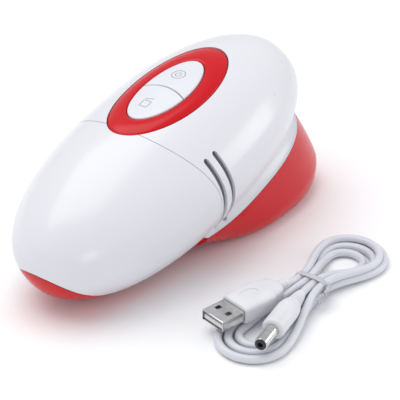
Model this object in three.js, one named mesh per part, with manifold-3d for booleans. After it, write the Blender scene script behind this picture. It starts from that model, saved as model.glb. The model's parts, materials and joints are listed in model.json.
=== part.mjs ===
// Hands-free electric can opener with its charging cable, as an assembly of separate parts.
// Units are millimetres, +Z is up, the floor is z = 0, the nose points to -X and the tail to +X.
// The upper body is an egg pitched up towards its tail; the lower casing is a boat-shaped hull.
import * as THREE from 'three';
import { mergeVertices } from 'three/addons/utils/BufferGeometryUtils.js';
import Module from 'manifold-3d';

const wasm = await Module();
wasm.setup();

// ---------------------------------------------------------------- driving dimensions
const GAP = 0.3;
const SLIVER = 0.03;
const WALL = 2.2;
const egg = {
  halfLength: 81.9, halfWidth: 38.8, up: 30, down: 34.5,
  planPower: 2.21, sidePower: 2.25, sectionPower: 1.85,
  pitch: THREE.MathUtils.degToRad(12.5), centreHeight: 37.85,
};
const ORIGIN_SHIFT = -4.5;      // puts the origin under the middle of the opener
const hull = {
  rimHeight: 16.5, rimSlope: 0.29, front: -29, rear: 89.5, halfWidth: 37, planPower: 2.5,
  widestAt: 0.34, rimInsetRear: 14, rimInsetSide: 1.8, floorInset: 6, bow: 33, bowPower: 1.2,
};
const lip = { height: 10, inset: 5, below: 4 };
const seam = { u: -19.5, sweep: 8.5, at: 38 };
const underside = -25.5;         // w of the flat face under the front half
const FLOOR = 2.2;
const bezel = { u: 11.6, a: 34.5, b: 17.2, proud: 0.35 };
const keys = { u: 10.05, a: 22.7, b: 10.65, splitU: 10.6, splitSweep: 2.2, clearance: 0.35 };
const pocket = { u: -8, r: 12.5, wall: 2 };
const vents = { u: [-8.5, -2.9], width: 2.3, low: -18.5, high: 15.5 };
const MODULE = 0.8;
const motor = { u: 24, r: 12, low: -8.1, high: 15.2 };
const gearLevels = [[-13.5, -10.7], [-16.7, -13.9], [-19.9, -17.1]];
const train = {
  pinion: { u: 24, teeth: 10 },
  first: { u: 5.6, teeth: 36, small: 12 },
  second: { u: -11.2, teeth: 30, small: 12 },
  output: { u: -26, teeth: 25 },
};
const plate = { low: -10, high: -8.4 };
const cutter = { u: -6.5, r: 10, low: -30.6, high: -29.2, pivotU: -8, pivotV: 11, travel: 3 };
const driveWheel = { r: 5.5, low: -31, high: -27, teeth: 22 };
const magnet = { u: -46, r: 5 };
const board = { u: [-12, 34], halfWidth: 9, low: 19, high: 20.4 };
const keyCentres = { power: 20, open: 0.5 };
const cell = { r: 9, x: [27, 77], z: 13.4 };
const coverScrews = [[-53, 10], [-53, -10], [-38, 17], [-38, -17]];
const bellyScrews = [[25, 19], [25, -19], [60, 18], [60, -18]];
const cord = { r: 1.65, tieX: -0.5, tieY: -76, leadHeight: 6.4 };

// ---------------------------------------------------------------- materials
const paint = (color, roughness, metalness = 0) => (
  new THREE.MeshStandardMaterial({ color, roughness, metalness })
);
const white = paint(0xf2f2f4, 0.22);
const red = paint(0xc4101c, 0.25);
const darkPlastic = paint(0x2b2c30, 0.5);
const nylon = paint(0xe8e4d6, 0.45);
const steel = paint(0xb9bcc0, 0.3, 1);
const brass = paint(0xc8a24a, 0.35, 1);
const boardGreen = paint(0x1e6b45, 0.5);
const cellBlue = paint(0x2f6fb4, 0.35);
const cordWhite = paint(0xe9eaee, 0.4);
const wireRed = paint(0xb01818, 0.45);

// ---------------------------------------------------------------- solid helpers
function solid(geometry) {
  const bare = geometry.clone();
  bare.deleteAttribute('normal');
  bare.deleteAttribute('uv');
  const merged = mergeVertices(bare, 1e-4);
  return new wasm.Manifold(new wasm.Mesh({
    numProp: 3,
    vertProperties: new Float32Array(merged.attributes.position.array),
    triVerts: new Uint32Array(merged.index.array),
  }));
}

function geometryOf(body) {
  const mesh = body.getMesh();
  const geometry = new THREE.BufferGeometry();
  geometry.setAttribute('position', new THREE.BufferAttribute(new Float32Array(mesh.vertProperties), 3));
  geometry.setIndex(new THREE.BufferAttribute(new Uint32Array(mesh.triVerts), 1));
  return geometry;
}

const moved = (body, matrix) => solid(geometryOf(body).applyMatrix4(matrix));

// A named mesh from a finished solid, cleared of the slivers that its cuts left.
function shown(name, body, material) {
  const geometry = geometryOf(body.simplify(SLIVER));
  geometry.computeVertexNormals();
  const result = new THREE.Mesh(geometry, material);
  result.name = name;
  return result;
}

const bend = (value, power) => Math.sign(value) * Math.abs(value) ** power;

function mapped(geometry, rule) {
  const position = geometry.attributes.position;
  const point = new THREE.Vector3();
  for (let i = 0; i < position.count; i += 1) {
    point.fromBufferAttribute(position, i);
    rule(point);
    position.setXYZ(i, point.x, point.y, point.z);
  }
  return geometry;
}

// The egg: a superellipse in plan and in side view, with a rounded section, grown or shrunk evenly.
function eggSolid(grow, around = 24, along = 18) {
  const a = egg.halfLength + grow;
  const b = egg.halfWidth + grow;
  return solid(mapped(new THREE.SphereGeometry(1, around, along), (p) => {
    const t = Math.min(1, Math.abs(p.y));
    const ring = Math.hypot(p.x, p.z) || 1;
    const plan = (1 - t ** egg.planPower) ** (1 / egg.planPower);
    const side = (1 - t ** egg.sidePower) ** (1 / egg.sidePower);
    const c = (p.x > 0 ? egg.up : egg.down) + grow;
    p.set(
      a * p.y,
      b * plan * bend(p.z / ring, 2 / egg.sectionPower),
      c * side * bend(p.x / ring, 2 / egg.sectionPower),
    );
  }));
}

const flat = (points) => new THREE.Shape(points.map(([x, y]) => new THREE.Vector2(x, y)));

// A shape in plan (u, v), raised along w.
function planPrism(shape, low, high, curveSegments = 20) {
  const options = { depth: high - low, bevelEnabled: false, curveSegments };
  return solid(new THREE.ExtrudeGeometry(shape, options).translate(0, 0, low));
}

// A shape in side view (u, w), widened along v between two values.
function sidePrism(shape, from, to, curveSegments = 12) {
  const options = { depth: to - from, bevelEnabled: false, curveSegments };
  return solid(new THREE.ExtrudeGeometry(shape, options).translate(0, 0, -to).rotateX(Math.PI / 2));
}

function disc(r, u, v, low, high, segments = 20) {
  const geometry = new THREE.CylinderGeometry(r, r, high - low, segments);
  return solid(geometry.rotateX(Math.PI / 2).translate(u, v, (low + high) / 2));
}

function rodAlongX(r, from, to, y, z, segments = 16) {
  const geometry = new THREE.CylinderGeometry(r, r, to - from, segments);
  return solid(geometry.rotateZ(-Math.PI / 2).translate((from + to) / 2, y, z));
}

function block(x0, x1, y0, y1, z0, z1) {
  const geometry = new THREE.BoxGeometry(x1 - x0, y1 - y0, z1 - z0);
  return solid(geometry.translate((x0 + x1) / 2, (y0 + y1) / 2, (z0 + z1) / 2));
}

// A turned piece: closed outline of (radius, w) points, about the w axis at (u, v).
function turned(points, u, v, segments = 24) {
  const outline = [...points, points[0]].map(([r, w]) => new THREE.Vector2(r, w));
  return solid(new THREE.LatheGeometry(outline, segments).rotateX(Math.PI / 2).translate(u, v, 0));
}

function ellipse(u, a, b) {
  const shape = new THREE.Shape();
  shape.absellipse(u, 0, a, b, 0, Math.PI * 2);
  return shape;
}

function slotShape(u0, v0, u1, v1, r) {
  const along = Math.atan2(v1 - v0, u1 - u0);
  const shape = new THREE.Shape();
  shape.absarc(u1, v1, r, along - Math.PI / 2, along + Math.PI / 2);
  shape.absarc(u0, v0, r, along + Math.PI / 2, along + Math.PI * 1.5);
  return shape;
}

function tube(points, r, steps, sides = 8) {
  const path = new THREE.CatmullRomCurve3(points.map((p) => new THREE.Vector3(...p)));
  const section = new THREE.Shape();
  for (let i = 0; i < sides; i += 1) {
    const angle = (i * 2 * Math.PI) / sides;
    const to = i === 0 ? 'moveTo' : 'lineTo';
    section[to](r * Math.cos(angle), r * Math.sin(angle));
  }
  return solid(new THREE.ExtrudeGeometry(section, { steps, extrudePath: path, bevelEnabled: false }));
}

const joined = (bodies) => bodies.reduce((all, body) => all.add(body));
const mirrored = (make) => make(1).add(make(-1));

// ---------------------------------------------------------------- frames and dividing surfaces
const toEgg = new THREE.Matrix4()
  .makeRotationY(egg.pitch)
  .multiply(new THREE.Matrix4().makeTranslation(0, 0, -egg.centreHeight));

// Moves a solid that was built on the floor into the egg's own pitched frame.
const inEggFrame = (body) => moved(body, toEgg);

// The parting line between the front and rear halves sweeps back towards the flanks.
function behindSeam(offset) {
  const points = [[130, 60], [130, -60]];
  for (let v = -60; v <= 60; v += 7.5) {
    points.push([seam.u + seam.sweep * (v / seam.at) ** 2 + offset, v]);
  }
  return planPrism(flat(points.reverse()), -70, 50);
}

// The red front cover meets the white shell along a line that drops steeply from the nose.
const coverLine = (u) => -24 + 25.5 * Math.exp(-(u + egg.halfLength) / 20);

function belowCoverLine(offset) {
  const points = [[10, -60], [-90, -60]];
  for (let u = -90; u <= 10; u += 5) {
    points.push([u, coverLine(u) + offset]);
  }
  return sidePrism(flat(points), -50, 50);
}

const rimZ = (x) => hull.rimHeight + hull.rimSlope * x;

function aboveRim(offset) {
  const ends = [-150, 150];
  const shape = flat([[ends[0], rimZ(ends[0]) + offset], [ends[1], rimZ(ends[1]) + offset],
    [ends[1], 160], [ends[0], 160]]);
  return inEggFrame(sidePrism(shape, -60, 60));
}

// Rings of one superellipse plan, stacked on a turned profile: s runs from the floor to the rim.
function stacked(levels, outline, segments = 36) {
  const profile = [[0, levels[0]], ...levels.map((s) => [1, s]), [0, levels[levels.length - 1]]];
  const lathe = new THREE.LatheGeometry(profile.map(([r, s]) => new THREE.Vector2(r, s)), segments);
  return solid(mapped(lathe.rotateX(Math.PI / 2), (p) => {
    const radius = Math.hypot(p.x, p.y);
    const angle = Math.atan2(p.y, p.x);
    const { front, rear, halfWidth, height } = outline(p.z);
    const power = 2 / hull.planPower;
    const x = (front + rear) / 2 + ((rear - front) / 2) * radius * bend(Math.cos(angle), power);
    p.set(x, halfWidth * radius * bend(Math.sin(angle), power), height(x));
  }));
}

function hullOutline(grow, floor, over) {
  return (s) => {
    const t = Math.min(1, Math.max(0, s));
    const under = Math.max(0, (hull.widestAt - t) / hull.widestAt);
    const above = Math.max(0, (t - hull.widestAt) / (1 - hull.widestAt));
    const tuck = hull.floorInset * (1 - Math.sqrt(1 - under ** 2));
    return {
      front: hull.front + hull.bow * (1 - t) ** hull.bowPower - grow,
      rear: hull.rear - tuck - hull.rimInsetRear * above ** 1.1 + grow,
      halfWidth: hull.halfWidth - tuck - hull.rimInsetSide * above ** 1.1 + grow,
      height: (x) => floor + s * (rimZ(x) + over - floor),
    };
  };
}

const hullLevels = [0, 0.05, 0.16, 0.34, 0.55, 0.78, 1];
const hullSolid = () => stacked(hullLevels, hullOutline(0, 0, 0));
const hullCavity = () => stacked(hullLevels, hullOutline(-WALL, WALL, 3), 28);

// The flared lip that carries the white shell from the egg's flank out to the hull's rim.
function lipSolid(grow, below) {
  const rim = below / (lip.height + below);
  const levels = [0, ...[0, 0.12, 0.3, 0.6, 1].map((part) => rim + (1 - rim) * part)];
  return stacked(levels, (s) => {
    const inset = lip.inset * Math.max(0, (s - rim) / (1 - rim)) ** 0.6;
    return {
      front: hull.front,
      rear: hull.rear - hull.rimInsetRear - inset + grow,
      halfWidth: hull.halfWidth - hull.rimInsetSide - inset + grow,
      height: (x) => rimZ(x) - below + s * (lip.height + below),
    };
  }, grow < 0 ? 24 : 36);
}

const pocketShape = (r) => {
  const shape = new THREE.Shape();
  shape.moveTo(-45, -r);
  shape.lineTo(pocket.u, -r);
  shape.absarc(pocket.u, 0, r, -Math.PI / 2, Math.PI / 2);
  shape.lineTo(-45, r);
  return shape;
};

// ---------------------------------------------------------------- shells and covers
const eggOuter = eggSolid(0, 32, 24);
const eggInner = eggSolid(-WALL);
const frontSide = planPrism(flat([[-130, -60], [60, -60], [60, 60], [-130, 60]]), -70, 50)
  .subtract(behindSeam(-GAP / 2));
const rearSide = behindSeam(GAP / 2);
const bezelHole = planPrism(ellipse(bezel.u, bezel.a + GAP, bezel.b + GAP), 5, 40, 20);
const pocketTool = planPrism(pocketShape(pocket.r), -70, underside - GAP);
const pocketWallTool = planPrism(pocketShape(pocket.r + pocket.wall), -70, underside - GAP);
const tongueShape = pocketShape(pocket.r + pocket.wall);

function frontShell() {
  const bosses = joined(coverScrews.map(([u, v]) => disc(3.2, u, v, underside + FLOOR + GAP, 30, 12)))
    .intersect(eggOuter);
  const screwHoles = joined(coverScrews.map(([u, v]) => disc(1.5, u, v, -30, -14, 10)));
  return eggOuter.subtract(eggInner).add(bosses).intersect(frontSide)
    .subtract(belowCoverLine(GAP / 2))
    .subtract(bezelHole)
    .subtract(screwHoles);
}

function ventCutter() {
  const shapes = vents.u.map((u) => slotShape(u, vents.low, u, vents.high, vents.width / 2));
  return joined(shapes.map((shape) => mirrored((side) => (
    side > 0 ? sidePrism(shape, 15, 50, 8) : sidePrism(shape, -50, -15, 8)
  ))));
}

function bellyPosts(r, low, high, segments) {
  return inEggFrame(joined(bellyScrews.map(([x, y]) => disc(r, x, y, low, high, segments))));
}

function rearShell() {
  const outer = eggOuter.add(inEggFrame(lipSolid(0, lip.below)));
  const cavity = eggInner.add(inEggFrame(lipSolid(-WALL, lip.below + 4)));
  const posts = bellyPosts(3.4, FLOOR + GAP, 44, 12);
  const webs = inEggFrame(joined(bellyScrews.map(([x, y]) => {
    const [from, to] = y > 0 ? [y, 45] : [-45, y];
    return block(x - 0.9, x + 0.9, from, to, rimZ(x) + 1, 44);
  })));
  const jackHole = rodAlongX(4.2, 60, 90, 0, -2, 18);
  return outer.subtract(cavity).add(webs.intersect(outer)).intersect(aboveRim(0)).add(posts)
    .intersect(rearSide)
    .subtract(bezelHole)
    .subtract(ventCutter())
    .subtract(jackHole)
    .subtract(bellyPosts(1.5, -5, 14, 10));
}

function lowerFrontCover() {
  const tray = eggOuter.intersect(frontSide).intersect(belowCoverLine(-GAP / 2))
    .subtract(eggInner.subtract(planPrism(flat([[-100, -60], [60, -60], [60, 60], [-100, 60]]), -70,
      underside + FLOOR)));
  const tongue = planPrism(tongueShape, underside, underside + FLOOR)
    .intersect(planPrism(flat([[-24, -30], [60, -30], [60, 30], [-24, 30]]), -70, 50));
  const holes = [
    planPrism(flat([[-130, -60], [60, -60], [60, 60], [-130, 60]]), -70, underside),
    disc(4.9, train.output.u, 0, -30, -20, 20),
    disc(7.3, magnet.u, 0, -30, -20, 24),
    planPrism(slotShape(cutter.u - cutter.travel - 0.3, 0, cutter.u + 0.3, 0, 2.8), -30, -20, 8),
    disc(1.9, cutter.pivotU, cutter.pivotV, -30, -20, 12),
    ...coverScrews.map(([u, v]) => disc(1.5, u, v, -30, -20, 10)),
    ...coverScrews.map(([u, v]) => disc(2.7, u, v, -30, underside + 1.1, 14)),
  ];
  return tray.add(tongue).subtract(joined(holes));
}

function bellyShell() {
  const tongueNotch = planPrism(pocketShape(pocket.r + pocket.wall + GAP), underside - GAP, 0);
  const cavity = inEggFrame(hullCavity()).intersect(behindSeam(WALL + GAP)).subtract(pocketWallTool);
  const counterbores = inEggFrame(joined(bellyScrews.map(([x, y]) => disc(2.7, x, y, -5, 1.1, 14))));
  return inEggFrame(hullSolid()).subtract(aboveRim(-GAP)).intersect(rearSide)
    .subtract(cavity)
    .subtract(pocketTool)
    .subtract(tongueNotch)
    .subtract(bellyPosts(1.5, -5, 14, 10))
    .subtract(counterbores);
}

function bezelRing() {
  const body = planPrism(ellipse(bezel.u, bezel.a, bezel.b), 0, 45, 20)
    .intersect(eggSolid(bezel.proud).subtract(eggSolid(-3.7)));
  const flange = planPrism(ellipse(bezel.u, bezel.a + 1.5, bezel.b + 1.5), 0, 45, 20)
    .intersect(eggSolid(-WALL - GAP).subtract(eggSolid(-3.7)));
  return body.add(flange).subtract(planPrism(ellipse(keys.u, keys.a, keys.b), 0, 50, 20));
}

function keyHalf(side) {
  const points = [[side * 60 + keys.u, 20], [side * 60 + keys.u, -20]];
  for (let v = -20; v <= 20; v += 2.5) {
    points.push([keys.splitU - keys.splitSweep * (v / 10) ** 2 + side * 0.25, v]);
  }
  return planPrism(flat(side > 0 ? points.reverse() : points), 0, 50);
}

function keyCap(side, centre) {
  const cap = planPrism(ellipse(keys.u, keys.a - keys.clearance, keys.b - keys.clearance), 0, 45, 20)
    .intersect(eggOuter.subtract(eggSolid(-5)));
  const flange = planPrism(ellipse(keys.u, keys.a + 1, keys.b + 1), 0, 45, 20)
    .intersect(eggSolid(-4).subtract(eggSolid(-5)));
  const hollow = planPrism(ellipse(keys.u, keys.a - 2.4, keys.b - 2.4), 0, 45, 20).intersect(eggSolid(-2));
  const stem = disc(2.2, centre, 0, 24.6, 29, 12);
  return cap.add(flange).subtract(hollow).add(stem.intersect(eggSolid(-1))).intersect(keyHalf(side));
}

function ventScreen(side) {
  const skin = eggSolid(-WALL - GAP).subtract(eggSolid(-3.5));
  return skin.intersect(block(-12, 1, side > 0 ? 20 : -40, side > 0 ? 40 : -20, -20, 17))
    .intersect(behindSeam(1));
}

// ---------------------------------------------------------------- drive train
// A spur gear outline: straight-sided teeth, one of them centred on the given angle.
function gearShape(teeth, phase) {
  const pitch = (MODULE * teeth) / 2;
  const step = (2 * Math.PI) / teeth;
  const shape = new THREE.Shape();
  for (let i = 0; i < teeth; i += 1) {
    const centre = phase + i * step;
    const corners = [[-0.29, -1.2], [-0.13, 0.85], [0.13, 0.85], [0.29, -1.2]];
    for (const [part, height] of corners) {
      const r = pitch + height * MODULE;
      const angle = centre + part * step;
      const to = i === 0 && part === -0.29 ? 'moveTo' : 'lineTo';
      shape[to](r * Math.cos(angle), r * Math.sin(angle));
    }
  }
  return shape;
}

function gear(teeth, phase, u, level, boreRadius) {
  const [low, high] = gearLevels[level];
  const body = planPrism(gearShape(teeth, phase), low, high).translate([u, 0, 0]);
  return body.subtract(disc(boreRadius, u, 0, low - 5, high + 5, 14));
}

function compoundGear({ u, teeth, small }, level) {
  const largeLow = gearLevels[level][0];
  const smallHigh = gearLevels[level + 1][1];
  const neck = disc(3, u, 0, smallHigh - 0.2, largeLow + 0.2, 14);
  return gear(teeth, Math.PI / teeth, u, level, 1.55)
    .add(neck.subtract(disc(1.55, u, 0, -40, 0, 14)))
    .add(gear(small, 0, u, level + 1, 1.55));
}

function gearPlate() {
  const outline = slotShape(train.output.u - 4, 0, motor.u, 0, 15.5);
  const legs = [[-38, 9], [-38, -9], [-22.5, 15], [-22.5, -15]]
    .map(([u, v]) => disc(2.2, u, v, underside + FLOOR + GAP, plate.high, 10));
  const collar = turned([[motor.r + GAP, plate.high - 0.2], [motor.r + 2, plate.high - 0.2],
    [motor.r + 2, -3], [motor.r + GAP, -3]], motor.u, 0, 28);
  const holes = [
    disc(3, motor.u, 0, -30, 0, 16),
    disc(1.55, train.first.u, 0, -30, 0, 12),
    disc(1.55, train.second.u, 0, -30, 0, 12),
    disc(1.9, train.output.u, 0, -30, 0, 12),
  ];
  return joined([planPrism(outline, plate.low, plate.high, 16), collar, ...legs]).subtract(joined(holes));
}

function knurledWheel() {
  const shape = new THREE.Shape();
  const step = (2 * Math.PI) / driveWheel.teeth;
  for (let i = 0; i < driveWheel.teeth; i += 1) {
    const root = (driveWheel.r - 0.7);
    const to = i === 0 ? 'moveTo' : 'lineTo';
    shape[to](root * Math.cos(i * step), root * Math.sin(i * step));
    shape.lineTo(driveWheel.r * Math.cos((i + 0.5) * step), driveWheel.r * Math.sin((i + 0.5) * step));
  }
  return planPrism(shape, driveWheel.low, driveWheel.high)
    .translate([train.output.u, 0, 0])
    .subtract(disc(2.8, train.output.u, 0, -40, 0, 14));
}

// ---------------------------------------------------------------- assembly
const root = new THREE.Group();
const upper = new THREE.Group();
upper.rotation.y = -egg.pitch;
upper.position.set(ORIGIN_SHIFT, 0, egg.centreHeight);
const lower = new THREE.Group();
lower.position.x = ORIGIN_SHIFT;
const cable = new THREE.Group();
cable.position.x = ORIGIN_SHIFT;
root.add(upper, lower, cable);

const keep = (group, name, body, material) => group.add(shown(name, body, material));

// Half-section of a pan-head screw whose head rests at the given height.
const screwProfile = (low, high) => [[0, low], [2.4, low], [2.4, low + 0.7], [1.2, low + 0.7],
  [1.2, high], [0, high]];

const SIDES = [['left', 1], ['right', -1]];

function addHousing() {
  keep(upper, 'front_shell', frontShell(), white);
  keep(upper, 'rear_shell', rearShell(), white);
  keep(upper, 'lower_front_cover', lowerFrontCover(), red);
  keep(upper, 'belly_shell', bellyShell(), red);
  keep(upper, 'bezel_ring', bezelRing(), red);
  keep(upper, 'power_button', keyCap(1, keyCentres.power), white);
  keep(upper, 'lid_release_button', keyCap(-1, keyCentres.open), white);
  keep(upper, 'vent_screen_left', ventScreen(1), darkPlastic);
  keep(upper, 'vent_screen_right', ventScreen(-1), darkPlastic);
  coverScrews.forEach(([u, v], i) => {
    const screw = turned(screwProfile(underside + 0.1, -15), u, v, 10);
    keep(upper, `cover_screw_${i + 1}`, screw, steel);
  });
  bellyScrews.forEach(([x, y], i) => {
    const screw = turned(screwProfile(0.1, 12), x, y, 10);
    keep(lower, `belly_screw_${i + 1}`, screw, steel);
  });
}

function addDrive() {
  const { pinion, first, second, output } = train;
  keep(upper, 'motor_can', disc(motor.r, motor.u, 0, motor.low, motor.high, 28), steel);
  const cap = disc(motor.r - 0.6, motor.u, 0, motor.high + GAP, motor.high + 2.6, 24);
  keep(upper, 'motor_end_cap', cap, darkPlastic);
  keep(upper, 'gear_plate', gearPlate(), darkPlastic);
  keep(upper, 'motor_shaft', disc(1, motor.u, 0, -14.2, motor.low - GAP, 12), steel);
  keep(upper, 'motor_pinion', gear(pinion.teeth, 0, pinion.u, 0, 1.3), brass);
  keep(upper, 'first_gear', compoundGear(first, 0), nylon);
  keep(upper, 'second_gear', compoundGear(second, 1), nylon);
  keep(upper, 'output_gear', gear(output.teeth, Math.PI / output.teeth, output.u, 2, 2.8), nylon);
  keep(upper, 'first_gear_axle', disc(1.25, first.u, 0, -17.2, plate.high + 0.2, 12), steel);
  keep(upper, 'second_gear_axle', disc(1.25, second.u, 0, -20.4, plate.high + 0.2, 12), steel);
  const shoulder = gearLevels[2][1] + 0.2;
  const spindle = turned([[0, driveWheel.low - 0.2], [2.5, driveWheel.low - 0.2], [2.5, shoulder],
    [1.6, shoulder], [1.6, plate.high + 0.4], [0, plate.high + 0.4]], output.u, 0, 16);
  keep(upper, 'drive_spindle', spindle, steel);
  keep(upper, 'drive_wheel', knurledWheel(), steel);
  const bush = turned([[2.8, underside - 0.6], [4.6, underside - 0.6], [4.6, -23], [6.5, -23],
    [6.5, -21.8], [2.8, -21.8]], output.u, 0, 20);
  keep(upper, 'spindle_bush', bush, brass);
}

function addCutter() {
  const { u, r, low, high, pivotU, pivotV } = cutter;
  const arm = planPrism(slotShape(u, 0, pivotU, pivotV, 4), -22.8, -20.8, 10)
    .subtract(disc(2.3, u, 0, -30, -10, 12))
    .subtract(disc(1.9, pivotU, pivotV, -30, -10, 12));
  keep(upper, 'cutter_arm', arm, steel);
  const axle = turned([[0, -32], [3.4, -32], [3.4, -31], [2, -31], [2, -20.4], [0, -20.4]], u, 0, 14);
  keep(upper, 'cutter_axle', axle, steel);
  const wheel = turned([[2.3, low], [4, low], [r - 1.6, low], [r, high - 0.15], [r, high], [4, high],
    [4, high + 1.6], [2.3, high + 1.6]], u, 0, 36);
  keep(upper, 'cutter_wheel', wheel, steel);
  const pin = turned([[0, underside + 0.2], [1.6, underside + 0.2], [1.6, -18.6], [3.4, -18.6],
    [3.4, -17.8], [0, -17.8]], pivotU, pivotV, 12);
  keep(upper, 'arm_pivot_pin', pin, steel);
  const turns = [];
  for (let i = 0; i <= 20; i += 1) {
    const angle = (i * Math.PI) / 5;
    turns.push([pivotU + 2.5 * Math.cos(angle), pivotV + 2.5 * Math.sin(angle), -20.2 + i * 0.06]);
  }
  keep(upper, 'arm_spring', tube(turns, 0.25, 44, 5), steel);
  for (const [name, side] of SIDES) {
    keep(upper, `rim_guide_${name}`, disc(2.2, -28, side * 15, -29, underside - GAP, 14), steel);
  }
  keep(upper, 'lid_magnet', disc(magnet.r, magnet.u, 0, underside + 0.1, -20.6, 22), steel);
  const holder = turned([[magnet.r + GAP, underside + 0.2], [7, underside + 0.2], [7, -23], [8.6, -23],
    [8.6, -20.6], [magnet.r + GAP, -20.6]], magnet.u, 0, 24);
  keep(upper, 'magnet_holder', holder, darkPlastic);
}

function addElectrics() {
  const [u0, u1] = board.u;
  const sheet = block(u0, u1, -board.halfWidth, board.halfWidth, board.low, board.high);
  keep(upper, 'circuit_board', sheet, boardGreen);
  const tact = (u) => block(u - 3, u + 3, -3, 3, board.high + GAP, 22.6).add(disc(1.7, u, 0, 22, 23.1, 12));
  keep(upper, 'power_switch', tact(keyCentres.power), darkPlastic);
  keep(upper, 'lid_release_switch', tact(keyCentres.open), darkPlastic);
  const jack = block(66, 74, -4.5, 4.5, -6.5, 2.5).add(rodAlongX(3.8, 73, 79.5, 0, -2, 18))
    .subtract(rodAlongX(2.85, 68, 90, 0, -2, 18))
    .add(rodAlongX(0.6, 67, 78, 0, -2, 8));
  keep(upper, 'dc_jack', jack, darkPlastic);
  keep(lower, 'battery_cell', rodAlongX(cell.r, cell.x[0], cell.x[1], 0, cell.z, 24), cellBlue);
  const cradle = block(24.5, 78.5, -11, 11, 2.6, 12)
    .subtract(rodAlongX(cell.r + GAP, cell.x[0] - 0.4, cell.x[1] + 0.4, 0, cell.z, 24));
  keep(lower, 'battery_cradle', cradle, darkPlastic);
  for (const [name, side] of SIDES) {
    const lead = tube([[79.4, side * 4, 14.5], [78, side * 4.5, 24], [66, side * 4, 37],
      [50, side * 3, 50], [41, side * 3, 60]], 0.7, 14, 6);
    keep(lower, `battery_lead_${name}`, lead, side > 0 ? wireRed : darkPlastic);
    const jackLead = tube([[65.5, side * 2, -2], [58, side * 6, 2], [46, side * 8, 10],
      [38, side * 7, 17], [34.6, side * 6, 19.6]], 0.6, 10, 6);
    keep(upper, `jack_lead_${name}`, jackLead, side > 0 ? wireRed : darkPlastic);
  }
}

// ---------------------------------------------------------------- charging cable
// The cable lies beside the opener, wound into a bow of two lobes held by a wire tie.
const teardrop = [[0.06, 0.3], [0.2, 0.62], [0.38, 0.9], [0.58, 1], [0.78, 0.86], [0.94, 0.48], [1, 0]];

function lobeShape(side, length, halfWidth) {
  const otherHalf = teardrop.slice(0, -1).map(([f, g]) => [f, -g]).reverse();
  const points = [...teardrop, ...otherHalf]
    .map(([f, g]) => new THREE.Vector2(cord.tieX + side * length * f, cord.tieY + halfWidth * g));
  return new THREE.Shape(new THREE.SplineCurve(points).getPoints(30));
}

// Where a plug lies: its mouth at (x, y, z), its own axis turned about the vertical.
const plugPlace = ({ x, y, z, turn }) => new THREE.Matrix4().makeRotationZ(turn).setPosition(x, y, z);

function addCable() {
  const usb = { x: -48.5, y: -61.7, z: 7.9, turn: THREE.MathUtils.degToRad(-12.6), end: 40 };
  const dc = { x: -51.7, y: -86, z: 8.6, turn: THREE.MathUtils.degToRad(9.6), end: 38.5 };
  const onUsb = (body) => moved(body, plugPlace(usb));
  const onDc = (body) => moved(body, plugPlace(dc));
  const windows = [2.9, -2.9].map((v) => block(4.4, 6.9, v - 1.1, v + 1.1, -5, 5));
  const shell = block(0, 14, -6, 6, -2.25, 2.25).subtract(block(-1, 13.4, -5.7, 5.7, -1.95, 1.95))
    .subtract(joined(windows));
  keep(cable, 'usb_shell', onUsb(shell), steel);
  keep(cable, 'usb_tongue', onUsb(block(0.6, 13, -5.3, 5.3, -1.6, 0.2)), white);
  const overmold = block(11.4, 34, -7.3, 7.3, -4, 4)
    .subtract(block(11, 14 + GAP, -6 - GAP, 6 + GAP, -2.25 - GAP, 2.25 + GAP))
    .add(rodAlongX(3.1, 33.5, usb.end, 0, 0, 16));
  keep(cable, 'usb_overmold', onUsb(overmold), white);
  const barrel = rodAlongX(2.7, 0.6, 11, 0, 0, 20).subtract(rodAlongX(2.2, -1, 9, 0, 0, 20));
  keep(cable, 'dc_barrel', onDc(barrel), steel);
  const tip = rodAlongX(2, 0, 8.7, 0, 0, 16).subtract(rodAlongX(1.05, -1, 8, 0, 0, 12));
  keep(cable, 'dc_insulator', onDc(tip), darkPlastic);
  const dcBody = rodAlongX(4.6, 11.3, 31, 0, 0, 20).add(rodAlongX(3, 30, dc.end, 0, 0, 16));
  keep(cable, 'dc_overmold', onDc(dcBody), white);
  const ringOf = (side, outer, inner, height) => planPrism(lobeShape(side, ...outer), 0.05, height, 4)
    .subtract(planPrism(lobeShape(side, ...inner), -1, height + 1, 4));
  const bundle = block(cord.tieX - 5, cord.tieX + 7, cord.tieY - 6.9, cord.tieY + 6.9, 1.3, 8.1);
  const lobes = ringOf(1, [46.5, 16], [31.5, 7.5], 6.8).add(ringOf(-1, [56.5, 15.4], [44, 5], 3.4));
  const hank = lobes.add(bundle)
    .subtract(block(cord.tieX - 1.8, cord.tieX + 1.8, -100, -50, -1, 1.3));
  keep(cable, 'cable_hank', hank, cordWhite);
  const entry = cord.tieX - 5 - 3 * GAP;
  const leads = [['usb_lead', usb, cord.tieY + 5.1], ['dc_lead', dc, cord.tieY - 1.7]];
  for (const [name, plug, y] of leads) {
    const reach = plug.end + 4 * GAP;
    const from = [plug.x + reach * Math.cos(plug.turn), plug.y + reach * Math.sin(plug.turn), plug.z];
    const to = [entry, y, cord.leadHeight];
    const middle = from.map((value, i) => (value + to[i]) / 2);
    keep(cable, name, tube([from, middle, to], cord.r, 4, 8), cordWhite);
  }
  const tieRing = block(cord.tieX - 1.3, cord.tieX + 1.3, cord.tieY - 8.3, cord.tieY + 8.3, 0, 9.5)
    .subtract(block(cord.tieX - 5, cord.tieX + 5, cord.tieY - 7.2, cord.tieY + 7.2, 1, 8.4));
  keep(cable, 'cable_tie', tieRing, white);
}

addHousing();
addDrive();
addCutter();
addElectrics();
addCable();

export default root;
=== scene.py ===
# %% [markdown]
# # A hands-free can opener with its charging cable
# The opener is an egg of glossy white plastic that leans on a red, boat-shaped casing.
# Two white keys sit in a red oval ring on its back, and its cutting works are underneath.
# Its charging cable lies beside it, wound into a bow and held by a wire tie.
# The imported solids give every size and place; this script gives the surfaces their finish.

import json
import math

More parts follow.
